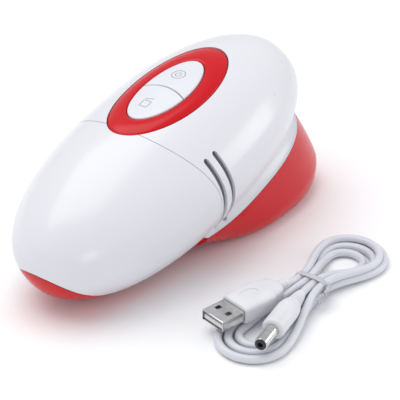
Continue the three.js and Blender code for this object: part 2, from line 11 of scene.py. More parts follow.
import bmesh
import bpy
import numpy as np
from mathutils import Matrix, Vector


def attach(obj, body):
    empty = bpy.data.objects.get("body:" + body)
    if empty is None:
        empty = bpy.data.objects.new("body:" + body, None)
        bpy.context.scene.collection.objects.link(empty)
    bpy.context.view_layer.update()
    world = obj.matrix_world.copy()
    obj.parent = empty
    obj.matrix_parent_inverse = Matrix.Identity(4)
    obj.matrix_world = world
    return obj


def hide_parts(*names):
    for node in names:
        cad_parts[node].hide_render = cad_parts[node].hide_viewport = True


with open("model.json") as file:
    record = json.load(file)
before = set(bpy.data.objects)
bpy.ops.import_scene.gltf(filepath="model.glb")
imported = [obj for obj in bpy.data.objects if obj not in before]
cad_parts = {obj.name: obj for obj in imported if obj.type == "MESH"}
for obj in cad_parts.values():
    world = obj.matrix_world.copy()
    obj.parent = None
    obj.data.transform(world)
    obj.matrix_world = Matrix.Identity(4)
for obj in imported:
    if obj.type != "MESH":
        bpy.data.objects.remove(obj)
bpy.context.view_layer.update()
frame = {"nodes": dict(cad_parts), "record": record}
MM = 0.001
ON_AXIS = 0.005

# %% [markdown]
# ## The camera
# A long lens held a little above the nose, so that the egg, its keys and the cable all show.
# A wide lens would come closer and stretch the nose; the long one keeps the egg's true outline.
# The camera is made first, because the cable's lie is judged against what it sees.

# %% Camera
CAMERA_AZIMUTH, CAMERA_ELEVATION = math.radians(-53.5), math.radians(30.4)
CAMERA_DISTANCE, CAMERA_LENS = 0.6, 132.5
CAMERA_AIM = Vector((-12.45, -25.86, 30.0)) * MM


def place_camera():
    data = bpy.data.cameras.new("camera")
    data.lens = CAMERA_LENS
    data.sensor_width = 36
    data.clip_start, data.clip_end = 0.01, 20
    camera = bpy.data.objects.new("camera", data)
    bpy.context.scene.collection.objects.link(camera)
    back = Vector((
        math.sin(CAMERA_AZIMUTH) * math.cos(CAMERA_ELEVATION),
        -math.cos(CAMERA_AZIMUTH) * math.cos(CAMERA_ELEVATION),
        math.sin(CAMERA_ELEVATION),
    ))
    camera.location = CAMERA_AIM + back * CAMERA_DISTANCE
    camera.rotation_mode = "QUATERNION"
    camera.rotation_quaternion = (-back).to_track_quat("-Z", "Y")
    bpy.context.scene.camera = camera
    return camera


camera = place_camera()
print("camera at", [round(x, 3) for x in camera.location])

# %% [markdown]
# ## Mesh helpers
# Most pieces here are a grid of points with a rule for each point, so one helper turns a
# grid into a mesh, and a few more make turned, extruded and swept shapes from it.
# They all work in millimetres; a piece is moved to its place and to metres once it is done.


# %% Mesh from points and faces
def piece_from(name, points, faces):
    mesh = bpy.data.meshes.new(name)
    mesh.from_pydata([tuple(p) for p in np.asarray(points, float)], [], faces)
    mesh.validate()
    piece = bpy.data.objects.new(name, mesh)
    bpy.context.scene.collection.objects.link(piece)
    return piece


def tidy_faces(piece, merge=1e-4):
    """Merges doubles and turns every face outwards."""
    work = bmesh.new()
    work.from_mesh(piece.data)
    bmesh.ops.remove_doubles(work, verts=work.verts, dist=merge)
    bmesh.ops.dissolve_degenerate(work, edges=work.edges, dist=merge / 10)
    bmesh.ops.recalc_face_normals(work, faces=work.faces)
    work.to_mesh(piece.data)
    work.free()
    return piece


def grid_faces(rows, columns, wrap_rows=False, wrap_columns=True):
    """Quads over a grid of rows times columns points, numbered row by row."""
    faces = []
    for i in range(rows if wrap_rows else rows - 1):
        for j in range(columns if wrap_columns else columns - 1):
            a, b = i * columns, ((i + 1) % rows) * columns
            k = (j + 1) % columns
            faces.append((a + j, a + k, b + k, b + j))
    return faces


# %% Turned, stacked, extruded and swept shapes
def stacked_rings(name, rings):
    """A closed solid through rings of points, with a flat cap at each end."""
    rows, columns = len(rings), len(rings[0])
    faces = grid_faces(rows, columns)
    faces += [tuple(range(columns))[::-1], tuple((rows - 1) * columns + j for j in range(columns))]
    return tidy_faces(piece_from(name, np.concatenate(rings), faces))


def turned(name, profile, segments=72):
    """A closed outline of (radius, height) turned about the upright axis."""
    angles = np.linspace(0, 2 * math.pi, segments, endpoint=False)
    rows = [np.c_[r * np.cos(angles), r * np.sin(angles), np.full(segments, h)] for r, h in profile]
    faces = grid_faces(len(rows), segments, wrap_rows=True)
    return tidy_faces(piece_from(name, np.concatenate(rows), faces))


def prism(name, outline, low, high):
    """An outline of (x, y) points raised from low to high."""
    flat = np.asarray(outline, float)
    rings = [np.c_[flat, np.full(len(flat), h)] for h in (low, high)]
    return stacked_rings(name, rings)


def rod(name, r, x, y, low, high, segments=32):
    return prism(name, circle(r, x, y, segments), low, high)


def circle(r, x=0.0, y=0.0, segments=32):
    a = np.linspace(0, 2 * math.pi, segments, endpoint=False)
    return np.c_[x + r * np.cos(a), y + r * np.sin(a)]


def block(name, low, high, rounding=0.0, segments=3):
    work = bmesh.new()
    bmesh.ops.create_cube(work, size=1.0)
    low, high = Vector(low), Vector(high)
    for v in work.verts:
        v.co = Vector((a + (0.5 + t) * (b - a) for a, b, t in zip(low, high, v.co)))
    if rounding:
        bmesh.ops.bevel(work, geom=list(work.edges), offset=rounding, segments=segments,
                        profile=0.5, affect="EDGES")
    mesh = bpy.data.meshes.new(name)
    work.to_mesh(mesh)
    work.free()
    piece = bpy.data.objects.new(name, mesh)
    bpy.context.scene.collection.objects.link(piece)
    return piece


def frames_along(path):
    """For each point of a path: its direction, and two directions square to it that don't twist."""
    path = np.asarray(path, float)
    ahead = np.gradient(path, axis=0)
    ahead /= np.linalg.norm(ahead, axis=1)[:, None]
    side = np.zeros_like(path)
    start = np.cross(ahead[0], (0, 0, 1))
    if np.linalg.norm(start) < 0.1:
        start = np.cross(ahead[0], (0, 1, 0))
    side[0] = start / np.linalg.norm(start)
    for i in range(1, len(path)):
        s = side[i - 1] - ahead[i] * (side[i - 1] @ ahead[i])
        side[i] = s / np.linalg.norm(s)
    return ahead, side, np.cross(side, ahead)


def swept(name, path, section, twist=None):
    """A closed section of (across, up) points carried along a path."""
    path, section = np.asarray(path, float), np.asarray(section, float)
    _, side, up = frames_along(path)
    angle = np.zeros(len(path)) if twist is None else np.asarray(twist, float)
    rings = []
    for p, s, u, a in zip(path, side, up, angle):
        across = s * math.cos(a) + u * math.sin(a)
        over = u * math.cos(a) - s * math.sin(a)
        rings.append(p + section[:, :1] * across + section[:, 1:] * over)
    return stacked_rings(name, rings)


# %% Joining, cutting and placing
def combine(piece, tool, operation):
    """Cuts with the tool or joins it on, and clears the tool away."""
    cut = piece.modifiers.new("combine", "BOOLEAN")
    cut.operation = operation
    cut.solver = "MANIFOLD"
    cut.object = tool
    ready = piece.evaluated_get(bpy.context.evaluated_depsgraph_get())
    result = bpy.data.meshes.new_from_object(ready)
    piece.modifiers.remove(cut)
    old = piece.data
    piece.data = result
    bpy.data.meshes.remove(old)
    bpy.data.objects.remove(tool)
    return piece


def carve(piece, *tools):
    for tool in tools:
        combine(piece, tool, "DIFFERENCE")
    return piece


def weld(piece, *tools):
    for tool in tools:
        combine(piece, tool, "UNION")
    return piece


def keep_inside(piece, tool):
    return combine(piece, tool, "INTERSECT")


def soften(piece, angle=32):
    """Smooth shading, with an edge kept wherever two faces meet at more than this angle."""
    piece.data.shade_smooth()
    piece.data.set_sharp_from_angle(angle=math.radians(angle))
    return piece


def settle(piece, place, body, slot, *stands_for):
    """Moves a finished piece to its place in metres and hangs it on its body."""
    piece.data.transform(place)
    piece.data.update()
    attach(piece, body)
    if stands_for:
        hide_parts(*stands_for)
    return piece


print("helpers ready")

# %% [markdown]
# ## The cord
# A limp white cord joins the two plugs. It is wound into a bow: four turns to the right of the
# tie and three to the left. Each turn is a straight run out of the tie, a half circle at the far
# end and a run back, so a loop over a short list of turns lays the whole bow. A turn that rests
# on others drops late on its way out, as a real cord does. The whole cord is one mesh tube.

# %% The tie's place and the cord's eight passes through it
CORD_RADIUS = 1.65
TIE = np.array([-5.0, -76.0, 0.0])
LOW, HIGH = 3.0, 6.4
OUTER, INNER = 5.1, 1.7
ON_FLOOR = CORD_RADIUS + 0.06

# side, reach, half width, height at the far end, (y, z) where it leaves the tie and comes back
TURNS = [
    (1, 41.9, 12.5, 4.2, (OUTER, HIGH), (-OUTER, HIGH)),
    (-1, 54.6, 13.6, ON_FLOOR, (-OUTER, HIGH), (OUTER, LOW)),
    (1, 44.7, 14.2, ON_FLOOR, (OUTER, LOW), (-OUTER, LOW)),
    (-1, 50.2, 10.3, ON_FLOOR, (-OUTER, LOW), (INNER, LOW)),
    (1, 39.2, 10.9, ON_FLOOR, (INNER, LOW), (-INNER, LOW)),
    (-1, 45.6, 6.9, ON_FLOOR, (-INNER, LOW), (INNER, HIGH)),
    (1, 33.6, 7.6, ON_FLOOR, (INNER, HIGH), (-INNER, HIGH)),
]


def ease(f):
    return f * f * (3 - 2 * f)


def run(side, length, far_y, far_z, near, steps=16):
    """Points from the tie out to where the half circle starts."""
    f = np.linspace(0, 1, steps)
    e = ease(f)
    z = near[1] + (far_z - near[1]) * e ** 1.5
    return np.c_[side * length * f, near[0] + (far_y - near[0]) * e, z]


def turn(side, reach, half_width, height, leaves, returns):
    way = math.copysign(1, leaves[0])
    length = reach - half_width
    out = run(side, length, way * half_width, height, leaves)
    home = run(side, length, -way * half_width, height, returns)[::-1]
    a = np.linspace(math.pi / 2, -math.pi / 2, 26)[1:-1]
    x, y = side * (length + half_width * np.cos(a)), way * half_width * np.sin(a)
    bow = np.c_[x, y, np.full(len(a), height)]
    return np.concatenate([out, bow, home])


# %% The two plugs' places, and the leads from them to the tie
def plug_place(x, y, z, degrees):
    return Matrix.Translation(Vector((x, y, z))) @ Matrix.Rotation(math.radians(degrees), 4, "Z")


USB_PLACE = plug_place(-53.0, -61.7, 7.9, -12.6)
DC_PLACE = plug_place(-56.2, -86.0, 8.6, 9.6)
USB_END, DC_END = 40.0, 38.5


def lead(place, end, tie_point, steps=10):
    """From inside a plug's strain relief to the tie, on one smooth bend."""
    start = np.array(place @ Vector((end - 3.0, 0, 0)))
    ahead = np.array(place.to_3x3() @ Vector((1, 0, 0)))
    finish = np.asarray(tie_point, float)
    reach = np.linalg.norm(finish - start)
    f = np.linspace(0, 1, steps)[:, None]
    h = [2 * f**3 - 3 * f**2 + 1, f**3 - 2 * f**2 + f, 3 * f**2 - 2 * f**3, f**3 - f**2]
    return h[0] * start + h[1] * ahead * reach + h[2] * finish + h[3] * np.array([reach, 0, 0])


def cord_route():
    first, last = TURNS[0], TURNS[-1]
    parts = [lead(USB_PLACE, USB_END, TIE + (0, *first[4]))]
    parts += [TIE + turn(*t) for t in TURNS]
    parts.append(lead(DC_PLACE, DC_END, TIE + (0, *last[5]))[::-1])
    points = np.concatenate(parts)
    gap = np.r_[1, np.linalg.norm(np.diff(points, axis=0), axis=1)]
    points = points[gap > 0.05]
    along = np.r_[0, np.cumsum(np.linalg.norm(np.diff(points, axis=0), axis=1))]
    even = np.linspace(0, along[-1], int(along[-1] / 1.0))
    points = np.c_[tuple(np.interp(even, along, points[:, k]) for k in range(3))]
    smooth = points.copy()
    for _ in range(3):
        smooth[1:-1] = (smooth[:-2] + 2 * smooth[1:-1] + smooth[2:]) / 4
    return smooth


route = cord_route()

# %% Cord jacket
jacket_section = circle(CORD_RADIUS, segments=16)
cord = soften(swept("charging_cord", route, jacket_section), 60)
settle(cord, Matrix.Scale(MM, 4), "housing", "cord_jacket", "cable_hank", "usb_lead", "dc_lead")

# %% [markdown]
# ## Repeating pieces with Geometry Nodes
# Ribs, knurls, louvres and screws all repeat one small shape. A Geometry Nodes tree places
# copies of that shape on a line, on a circle or on chosen points, with its counts and sizes as
# named inputs. The tree ends by realising the copies and giving them their material, and the
# result is turned into a plain mesh of ordinary geometry.


# %% Geometry Nodes helpers
def new_tree(name, sockets):
    tree = bpy.data.node_groups.new(name, "GeometryNodeTree")
    for label, kind, value in sockets:
        socket = tree.interface.new_socket(label, in_out="INPUT", socket_type=kind)
        if value is not None:
            socket.default_value = value
    tree.interface.new_socket("Geometry", in_out="OUTPUT", socket_type="NodeSocketGeometry")
    return tree, tree.nodes.new("NodeGroupInput"), tree.nodes.new("NodeGroupOutput")


def finish_tree(tree, given, result, instances):
    """Realises the instances, sets their material and hands them out."""
    realise = tree.nodes.new("GeometryNodeRealizeInstances")
    dress = tree.nodes.new("GeometryNodeSetMaterial")
    tree.links.new(instances, realise.inputs[0])
    tree.links.new(realise.outputs[0], dress.inputs["Geometry"])
    tree.links.new(given.outputs["Material"], dress.inputs["Material"])
    tree.links.new(dress.outputs[0], result.inputs[0])


def grown(name, tree, values):
    """Runs a tree with the given inputs and returns its result as a plain mesh piece."""
    holder = bpy.data.objects.new(name, bpy.data.meshes.new(name + "_seed"))
    bpy.context.scene.collection.objects.link(holder)
    grower = holder.modifiers.new("grow", "NODES")
    grower.node_group = tree
    for item in tree.interface.items_tree:
        if item.item_type == "SOCKET" and item.in_out == "INPUT" and item.name in values:
            grower[item.identifier] = values[item.name]
    ready = holder.evaluated_get(bpy.context.evaluated_depsgraph_get())
    mesh = bpy.data.meshes.new_from_object(ready)
    holder.modifiers.remove(grower)
    seed = holder.data
    holder.data = mesh
    bpy.data.meshes.remove(seed)
    return holder


def row_tree():
    """Copies of a shape along +X, each one scaled a little smaller than the one before."""
    tree, given, result = new_tree("row_of_copies", [
        ("Shape", "NodeSocketObject", None), ("Count", "NodeSocketInt", 4),
        ("Spacing", "NodeSocketFloat", 1.0), ("First", "NodeSocketFloat", 0.0),
        ("Shrink", "NodeSocketFloat", 0.0), ("Material", "NodeSocketMaterial", None)])
    nodes, links = tree.nodes, tree.links
    line = nodes.new("GeometryNodeMeshLine")
    start, step = nodes.new("ShaderNodeCombineXYZ"), nodes.new("ShaderNodeCombineXYZ")
    links.new(given.outputs["First"], start.inputs["X"])
    links.new(given.outputs["Spacing"], step.inputs["X"])
    links.new(given.outputs["Count"], line.inputs["Count"])
    links.new(start.outputs[0], line.inputs["Start Location"])
    links.new(step.outputs[0], line.inputs["Offset"])
    shape = nodes.new("GeometryNodeObjectInfo")
    links.new(given.outputs["Shape"], shape.inputs["Object"])
    index = nodes.new("GeometryNodeInputIndex")
    less = nodes.new("ShaderNodeMath")
    less.operation = "MULTIPLY"
    links.new(index.outputs[0], less.inputs[0])
    links.new(given.outputs["Shrink"], less.inputs[1])
    size = nodes.new("ShaderNodeMath")
    size.operation = "SUBTRACT"
    size.inputs[0].default_value = 1.0
    links.new(less.outputs[0], size.inputs[1])
    scale = nodes.new("ShaderNodeCombineXYZ")
    scale.inputs["X"].default_value = 1.0
    links.new(size.outputs[0], scale.inputs["Y"])
    links.new(size.outputs[0], scale.inputs["Z"])
    copies = nodes.new("GeometryNodeInstanceOnPoints")
    links.new(line.outputs[0], copies.inputs["Points"])
    links.new(shape.outputs["Geometry"], copies.inputs["Instance"])
    links.new(scale.outputs[0], copies.inputs["Scale"])
    finish_tree(tree, given, result, copies.outputs[0])
    return tree


def ring_tree():
    """Copies of a shape round a circle, each one turned to face out from its middle."""
    tree, given, result = new_tree("ring_of_copies", [
        ("Shape", "NodeSocketObject", None), ("Count", "NodeSocketInt", 12),
        ("Radius", "NodeSocketFloat", 1.0), ("Material", "NodeSocketMaterial", None)])
    nodes, links = tree.nodes, tree.links
    ring = nodes.new("GeometryNodeMeshCircle")
    links.new(given.outputs["Count"], ring.inputs["Vertices"])
    links.new(given.outputs["Radius"], ring.inputs["Radius"])
    place = nodes.new("GeometryNodeInputPosition")
    facing = nodes.new("FunctionNodeAlignRotationToVector")
    facing.axis = "X"
    facing.pivot_axis = "Z"
    links.new(place.outputs[0], facing.inputs["Vector"])
    shape = nodes.new("GeometryNodeObjectInfo")
    links.new(given.outputs["Shape"], shape.inputs["Object"])
    copies = nodes.new("GeometryNodeInstanceOnPoints")
    links.new(ring.outputs[0], copies.inputs["Points"])
    links.new(shape.outputs["Geometry"], copies.inputs["Instance"])
    links.new(facing.outputs[0], copies.inputs["Rotation"])
    finish_tree(tree, given, result, copies.outputs[0])
    return tree


def spots_tree():
    """Copies of a shape on the points of another mesh."""
    tree, given, result = new_tree("copies_on_spots", [
        ("Shape", "NodeSocketObject", None), ("Spots", "NodeSocketObject", None),
        ("Material", "NodeSocketMaterial", None)])
    nodes, links = tree.nodes, tree.links
    shape, spots = nodes.new("GeometryNodeObjectInfo"), nodes.new("GeometryNodeObjectInfo")
    links.new(given.outputs["Shape"], shape.inputs["Object"])
    links.new(given.outputs["Spots"], spots.inputs["Object"])
    copies = nodes.new("GeometryNodeInstanceOnPoints")
    links.new(spots.outputs["Geometry"], copies.inputs["Points"])
    links.new(shape.outputs["Geometry"], copies.inputs["Instance"])
    finish_tree(tree, given, result, copies.outputs[0])
    return tree


ROW, RING, SPOTS = row_tree(), ring_tree(), spots_tree()
print("trees:", [t.name for t in (ROW, RING, SPOTS)])

# %% [markdown]
# ## Finishes
# New moulded plastic isn't one flat colour: it has a faint orange-peel ripple from the mould and
# small changes of gloss. A shared node group makes both, and each plastic uses it with its own
# scale. Metals share a second group that gives the fine lines left by turning and brushing.
# The groups only hand out values; each material keeps its own shader.


# %% Shader groups
def shader_group(name, inputs, outputs):
    group = bpy.data.node_groups.new(name, "ShaderNodeTree")
    for label, value in inputs:
        socket = group.interface.new_socket(label, in_out="INPUT", socket_type="NodeSocketFloat")
        socket.default_value = value
    for label in outputs:
        group.interface.new_socket(label, in_out="OUTPUT", socket_type="NodeSocketFloat")
    return group, group.nodes.new("NodeGroupInput"), group.nodes.new("NodeGroupOutput")


def noise_on_object(group, scale_socket, detail, stretch=(1, 1, 1)):
    nodes, links = group.nodes, group.links
    kinds = ("ShaderNodeTexCoord", "ShaderNodeMapping", "ShaderNodeTexNoise")
    place, turn_to, noise = (nodes.new(kind) for kind in kinds)
    turn_to.inputs["Scale"].default_value = stretch
    noise.inputs["Detail"].default_value = detail
    links.new(place.outputs["Object"], turn_to.inputs["Vector"])
    links.new(turn_to.outputs[0], noise.inputs["Vector"])
    links.new(scale_socket, noise.inputs["Scale"])
    return noise.outputs[0]


def spread(group, source, low, high):
    """Spreads a 0 to 1 value between two sockets or numbers."""
    node = group.nodes.new("ShaderNodeMapRange")
    node.inputs["From Min"].default_value = 0.3
    node.inputs["From Max"].default_value = 0.7
    group.links.new(source, node.inputs["Value"])
    for socket, value in ((node.inputs["To Min"], low), (node.inputs["To Max"], high)):
        if isinstance(value, (int, float)):
            socket.default_value = value
        else:
            group.links.new(value, socket)
    return node.outputs[0]


def moulded_skin():
    group, given, result = shader_group(
        "moulded_skin", [("Ripple Scale", 60.0), ("Gloss Low", 0.2), ("Gloss High", 0.3)],
        ["Height", "Roughness", "Tone"])
    ripple = noise_on_object(group, given.outputs["Ripple Scale"], 2.0)
    group.links.new(ripple, result.inputs["Height"])
    cloud = group.nodes.new("ShaderNodeMath")
    cloud.operation = "MULTIPLY"
    cloud.inputs[1].default_value = 0.35
    group.links.new(given.outputs["Ripple Scale"], cloud.inputs[0])
    soft = noise_on_object(group, cloud.outputs[0], 3.0)
    rough = spread(group, soft, given.outputs["Gloss Low"], given.outputs["Gloss High"])
    group.links.new(rough, result.inputs["Roughness"])
    group.links.new(spread(group, soft, 0.0, 1.0), result.inputs["Tone"])
    return group


def tooled_lines():
    group, given, result = shader_group(
        "tooled_lines", [("Line Scale", 900.0), ("Gloss Low", 0.2), ("Gloss High", 0.4)],
        ["Height", "Roughness", "Tone"])
    lines = noise_on_object(group, given.outputs["Line Scale"], 4.0, (1, 0.08, 1))
    group.links.new(lines, result.inputs["Height"])
    rough = spread(group, lines, given.outputs["Gloss Low"], given.outputs["Gloss High"])
    group.links.new(rough, result.inputs["Roughness"])
    group.links.new(spread(group, lines, 0.0, 1.0), result.inputs["Tone"])
    return group


MOULDED_SKIN, TOOLED_LINES = moulded_skin(), tooled_lines()


# %% Materials from the groups
def finish_material(name, light, dark, group, scale, gloss, bump=0.02, bump_depth=0.0002, **shader_values):
    """A surface whose tone, gloss and small relief come from one of the shared groups."""
    material = bpy.data.materials.new(name)
    material.use_nodes = True
    nodes, links = material.node_tree.nodes, material.node_tree.links
    shader = nodes["Principled BSDF"]
    skin = nodes.new("ShaderNodeGroup")
    skin.node_tree = group
    skin.inputs[0].default_value = scale
    skin.inputs["Gloss Low"].default_value, skin.inputs["Gloss High"].default_value = gloss
    tone = nodes.new("ShaderNodeMix")
    tone.data_type = "RGBA"
    tone.inputs[6].default_value = (*dark, 1)
    tone.inputs[7].default_value = (*light, 1)
    links.new(skin.outputs["Tone"], tone.inputs[0])
    links.new(tone.outputs[2], shader.inputs["Base Color"])
    links.new(skin.outputs["Roughness"], shader.inputs["Roughness"])
    relief = nodes.new("ShaderNodeBump")
    relief.inputs["Strength"].default_value = bump
    relief.inputs["Distance"].default_value = bump_depth
    links.new(skin.outputs["Height"], relief.inputs["Height"])
    links.new(relief.outputs[0], shader.inputs["Normal"])
    for label, value in shader_values.items():
        shader.inputs[label.replace("_", " ")].default_value = value
    material.diffuse_color = (*light, 1)
    return material


def shade(r, g, b):
    """A colour as seen, 0 to 255, as the linear values that a shader takes."""
    return tuple(((c / 255 + 0.055) / 1.055) ** 2.4 if c > 10 else c / 255 / 12.92 for c in (r, g, b))


def plastic(name, light, dark, scale, gloss, bump=0.02, **more):
    return finish_material(name, light, dark, MOULDED_SKIN, scale, gloss, bump, **more)


def metal(name, light, dark, scale, gloss, bump=0.05, **more):
    return finish_material(name, light, dark, TOOLED_LINES, scale, gloss, bump, 0.0001, Metallic=1.0, **more)


SHELL_WHITE = plastic("shell_white", shade(221, 222, 227), shade(220.6, 221.6, 226.6), 45, (0.28, 0.3),
                      Coat_Weight=0.15)
KEY_WHITE = plastic("key_white", shade(222, 224, 229), shade(218, 220, 226), 160, (0.3, 0.36))
CASING_RED = plastic("casing_red", shade(200, 3, 20), shade(198, 3, 19), 60, (0.22, 0.25),
                     Specular_IOR_Level=0.28)
DARK_MOULDING = plastic("dark_moulding", shade(44, 45, 50), shade(34, 35, 40), 400, (0.45, 0.6), 0.15)
GEAR_NYLON = plastic("gear_nylon", shade(232, 228, 214), shade(222, 217, 200), 300, (0.35, 0.5), 0.1)
PLUG_WHITE = plastic("plug_white", shade(222, 222, 226), shade(214, 214, 219), 350, (0.34, 0.45), 0.08)
JACKET_WHITE = plastic("jacket_white", shade(214, 215, 222), shade(206, 207, 216), 260, (0.3, 0.4), 0.06)
TIE_GREY = plastic("tie_grey", shade(196, 196, 203), shade(184, 184, 192), 500, (0.35, 0.5), 0.15)
MARK_GREY = plastic("mark_grey", shade(150, 152, 160), shade(142, 144, 152), 500, (0.4, 0.5))
# The vent screen's grey is painted shade for the inside of the vent slots.
VENT_SHADE_GREY = plastic("vent_painted_shade", shade(104, 103, 110), shade(92, 91, 98), 400, (0.45, 0.6), 0.1)
BOARD_GREEN = plastic("board_green", shade(24, 104, 62), shade(18, 84, 50), 500, (0.3, 0.45), 0.1)
CELL_BLUE = plastic("cell_blue", shade(44, 104, 178), shade(38, 92, 164), 200, (0.2, 0.3))
SLEEVE_RED = plastic("sleeve_red", shade(176, 28, 28), shade(160, 22, 22), 400, (0.35, 0.5), 0.08)
SLEEVE_BLACK = plastic("sleeve_black", shade(36, 36, 38), shade(28, 28, 30), 400, (0.35, 0.5), 0.08)
BRIGHT_PLATING = metal("bright_plating", shade(214, 213, 212), shade(202, 201, 200), 700, (0.12, 0.22), 0.03)
TURNED_STEEL = metal("turned_steel", shade(176, 178, 182), shade(158, 160, 165), 900, (0.25, 0.42))
GEAR_BRASS = metal("gear_brass", shade(208, 172, 92), shade(190, 154, 76), 900, (0.25, 0.4))
print("materials:", len(bpy.data.materials))


def dress(piece, material):
    piece.data.materials.clear()
    piece.data.materials.append(material)
    return piece


dress(cord, JACKET_WHITE)

# %% [markdown]
# ## The plugs
# The cable has a flat computer plug at one end and a small barrel plug at the other. Each has a
# plated metal front, a moulded grip and a strain relief with rings that let it bend. The grips
# are lofted or turned, and the rings come from the row tree, each a little smaller than the last.


# %% Grip and shell helpers
def loft_along_x(name, stations, power=5.0, around=64):
    """A solid through rounded-square sections: (x, half width, half height)."""
    a = np.linspace(0, 2 * math.pi, around, endpoint=False)
    c = np.sign(np.cos(a)) * np.abs(np.cos(a)) ** (2 / power)
    s = np.sign(np.sin(a)) * np.abs(np.sin(a)) ** (2 / power)
    return stacked_rings(name, [np.c_[np.full(around, x), w * c, h * s] for x, w, h in stations])


def relief_rings(name, radius, thickness, first, spacing, count, shrink, material):
    """The bending rings of a strain relief, along +X."""
    section = circle(thickness, radius, 0, 10)
    ring = turned(name + "_shape", section, 40)
    ring.data.transform(Matrix.Rotation(math.pi / 2, 4, "Y"))
    rings = grown(name, ROW, {"Shape": ring, "Count": count, "Spacing": spacing, "First": first,
                              "Shrink": shrink, "Material": material})
    bpy.data.objects.remove(ring)
    return soften(rings, 60)


def turned_along_x(name, profile, segments=64):
    piece = turned(name, profile, segments)
    piece.data.transform(Matrix.Rotation(math.pi / 2, 4, "Y"))
    return piece


def in_place(place):
    return Matrix.Scale(MM, 4) @ place


def settle_on_plug(piece, finish, place, slot, *stands_for, angle=32):
    """Finishes a piece of a plug and lays it where that plug lies."""
    return settle(dress(soften(piece, angle), finish), in_place(place), "housing", slot, *stands_for)


# %% Computer plug
def usb_plug():
    shell = block("usb_shell_fine", (0, -6, -2.25), (14, 6, 2.25), 0.35)
    bore = block("bore", (-1, -5.7, -1.95), (13.4, 5.7, 1.95), 0.2)
    windows = [block("window", (4.4, v - 1.1, -5), (6.9, v + 1.1, 5)) for v in (2.9, -2.9)]
    carve(shell, bore, *windows)
    settle_on_plug(shell, BRIGHT_PLATING, USB_PLACE, "bright_plating", "usb_shell")
    tongue = block("usb_tongue_fine", (0.6, -5.3, -1.6), (13, 5.3, 0.2), 0.15)
    settle_on_plug(tongue, PLUG_WHITE, USB_PLACE, "cord_fittings", "usb_tongue")
    stations = [(11.4, 6.6, 3.4), (11.5, 6.9, 3.65), (11.9, 7.15, 3.88), (12.6, 7.28, 4.0), (25.5, 7.28, 4.0),
                (26.3, 7.2, 3.96), (27, 6.95, 3.84), (27.8, 6.5, 3.7), (31.5, 5.6, 3.5), (33, 5.0, 3.35),
                (33.7, 4.3, 3.2), (34, 3.4, 2.9)]
    grip = loft_along_x("usb_grip", stations)
    weld(grip, turned_along_x("relief", [(0.01, 33), (2.75, 33), (2.1, 39.6), (1.9, 40), (0.01, 40)]))
    carve(grip, block("recess", (10, -6.1, -2.35), (14.2, 6.1, 2.35)))
    carve(grip, turned_along_x("cord_hole", [(ON_AXIS, 36), (1.7, 36), (1.7, 42), (ON_AXIS, 42)]))
    carve(grip, prism("thumb_rest", circle(3.2, 19, 0, 40) * (1.5, 1.0) - (9.5, 0), 3.75, 5))
    settle_on_plug(grip, PLUG_WHITE, USB_PLACE, "cord_fittings", "usb_overmold", angle=40)
    rings = relief_rings("usb_relief_rings", 2.5, 0.5, 34.6, 1.25, 4, 0.05, PLUG_WHITE)
    settle(rings, in_place(USB_PLACE), "housing", "cord_fittings")
    return [shell, tongue, grip, rings]


# %% Barrel plug
def barrel_plug():
    outer, inner, hole = 2.7, 2.2, 1.05
    profile = [(inner, 0.75), (inner + 0.1, 0.62), (outer - 0.15, 0.62), (outer, 0.8), (outer, 11.4),
               (inner, 11.4)]
    barrel = turned_along_x("barrel_fine", profile)
    settle_on_plug(barrel, BRIGHT_PLATING, DC_PLACE, "bright_plating", "dc_barrel")
    profile = [(hole, 0.3), (hole + 0.15, 0.1), (inner - 0.15, 0.1), (inner - 0.01, 0.25), (inner - 0.01, 9),
               (ON_AXIS, 9), (ON_AXIS, 8), (hole, 8)]
    lining = turned_along_x("barrel_lining", profile)
    settle_on_plug(lining, DARK_MOULDING, DC_PLACE, "dark_plastic", "dc_insulator")
    profile = [(2.75, 12.5), (2.75, 11.3), (3.6, 11.3), (4.15, 11.45), (4.5, 11.9), (4.6, 12.6), (4.6, 24),
               (4.5, 26), (4.2, 28), (3.75, 29.6), (3.2, 30.8), (2.6, 31.2), (2.05, 37.9), (1.95, 38.4),
               (1.7, 38.5), (1.7, 34), (0.01, 34), (0.01, 12.5)]
    grip = turned_along_x("barrel_grip", profile, 80)
    settle_on_plug(grip, PLUG_WHITE, DC_PLACE, "cord_fittings", "dc_overmold", angle=40)
    rings = relief_rings("barrel_relief_rings", 2.5, 0.5, 32, 1.4, 4, 0.06, PLUG_WHITE)
    settle(rings, in_place(DC_PLACE), "housing", "cord_fittings")
    return [barrel, lining, grip, rings]


plug_pieces = usb_plug() + barrel_plug()
print("plug pieces:", [p.name for p in plug_pieces])

# %% [markdown]
# ## The wire tie
# A ribbon of soft plastic with a wire in its middle goes once round the bundle, and its two ends
# are twisted together. The loop and the twist are both that one section swept along a path:
# for the twist, two paths wind round each other.


# %% Wire tie
TIE_HALF_WIDTH = 7.4
TIE_HALF_HEIGHT = 3.9
TIE_MIDDLE = 4.7
RIBBON = np.array([(-1.25, -0.12), (-0.45, -0.2), (0, -0.42), (0.45, -0.2), (1.25, -0.12),
                   (1.25, 0.12), (0.45, 0.2), (0, 0.42), (-0.45, 0.2), (-1.25, 0.12)])


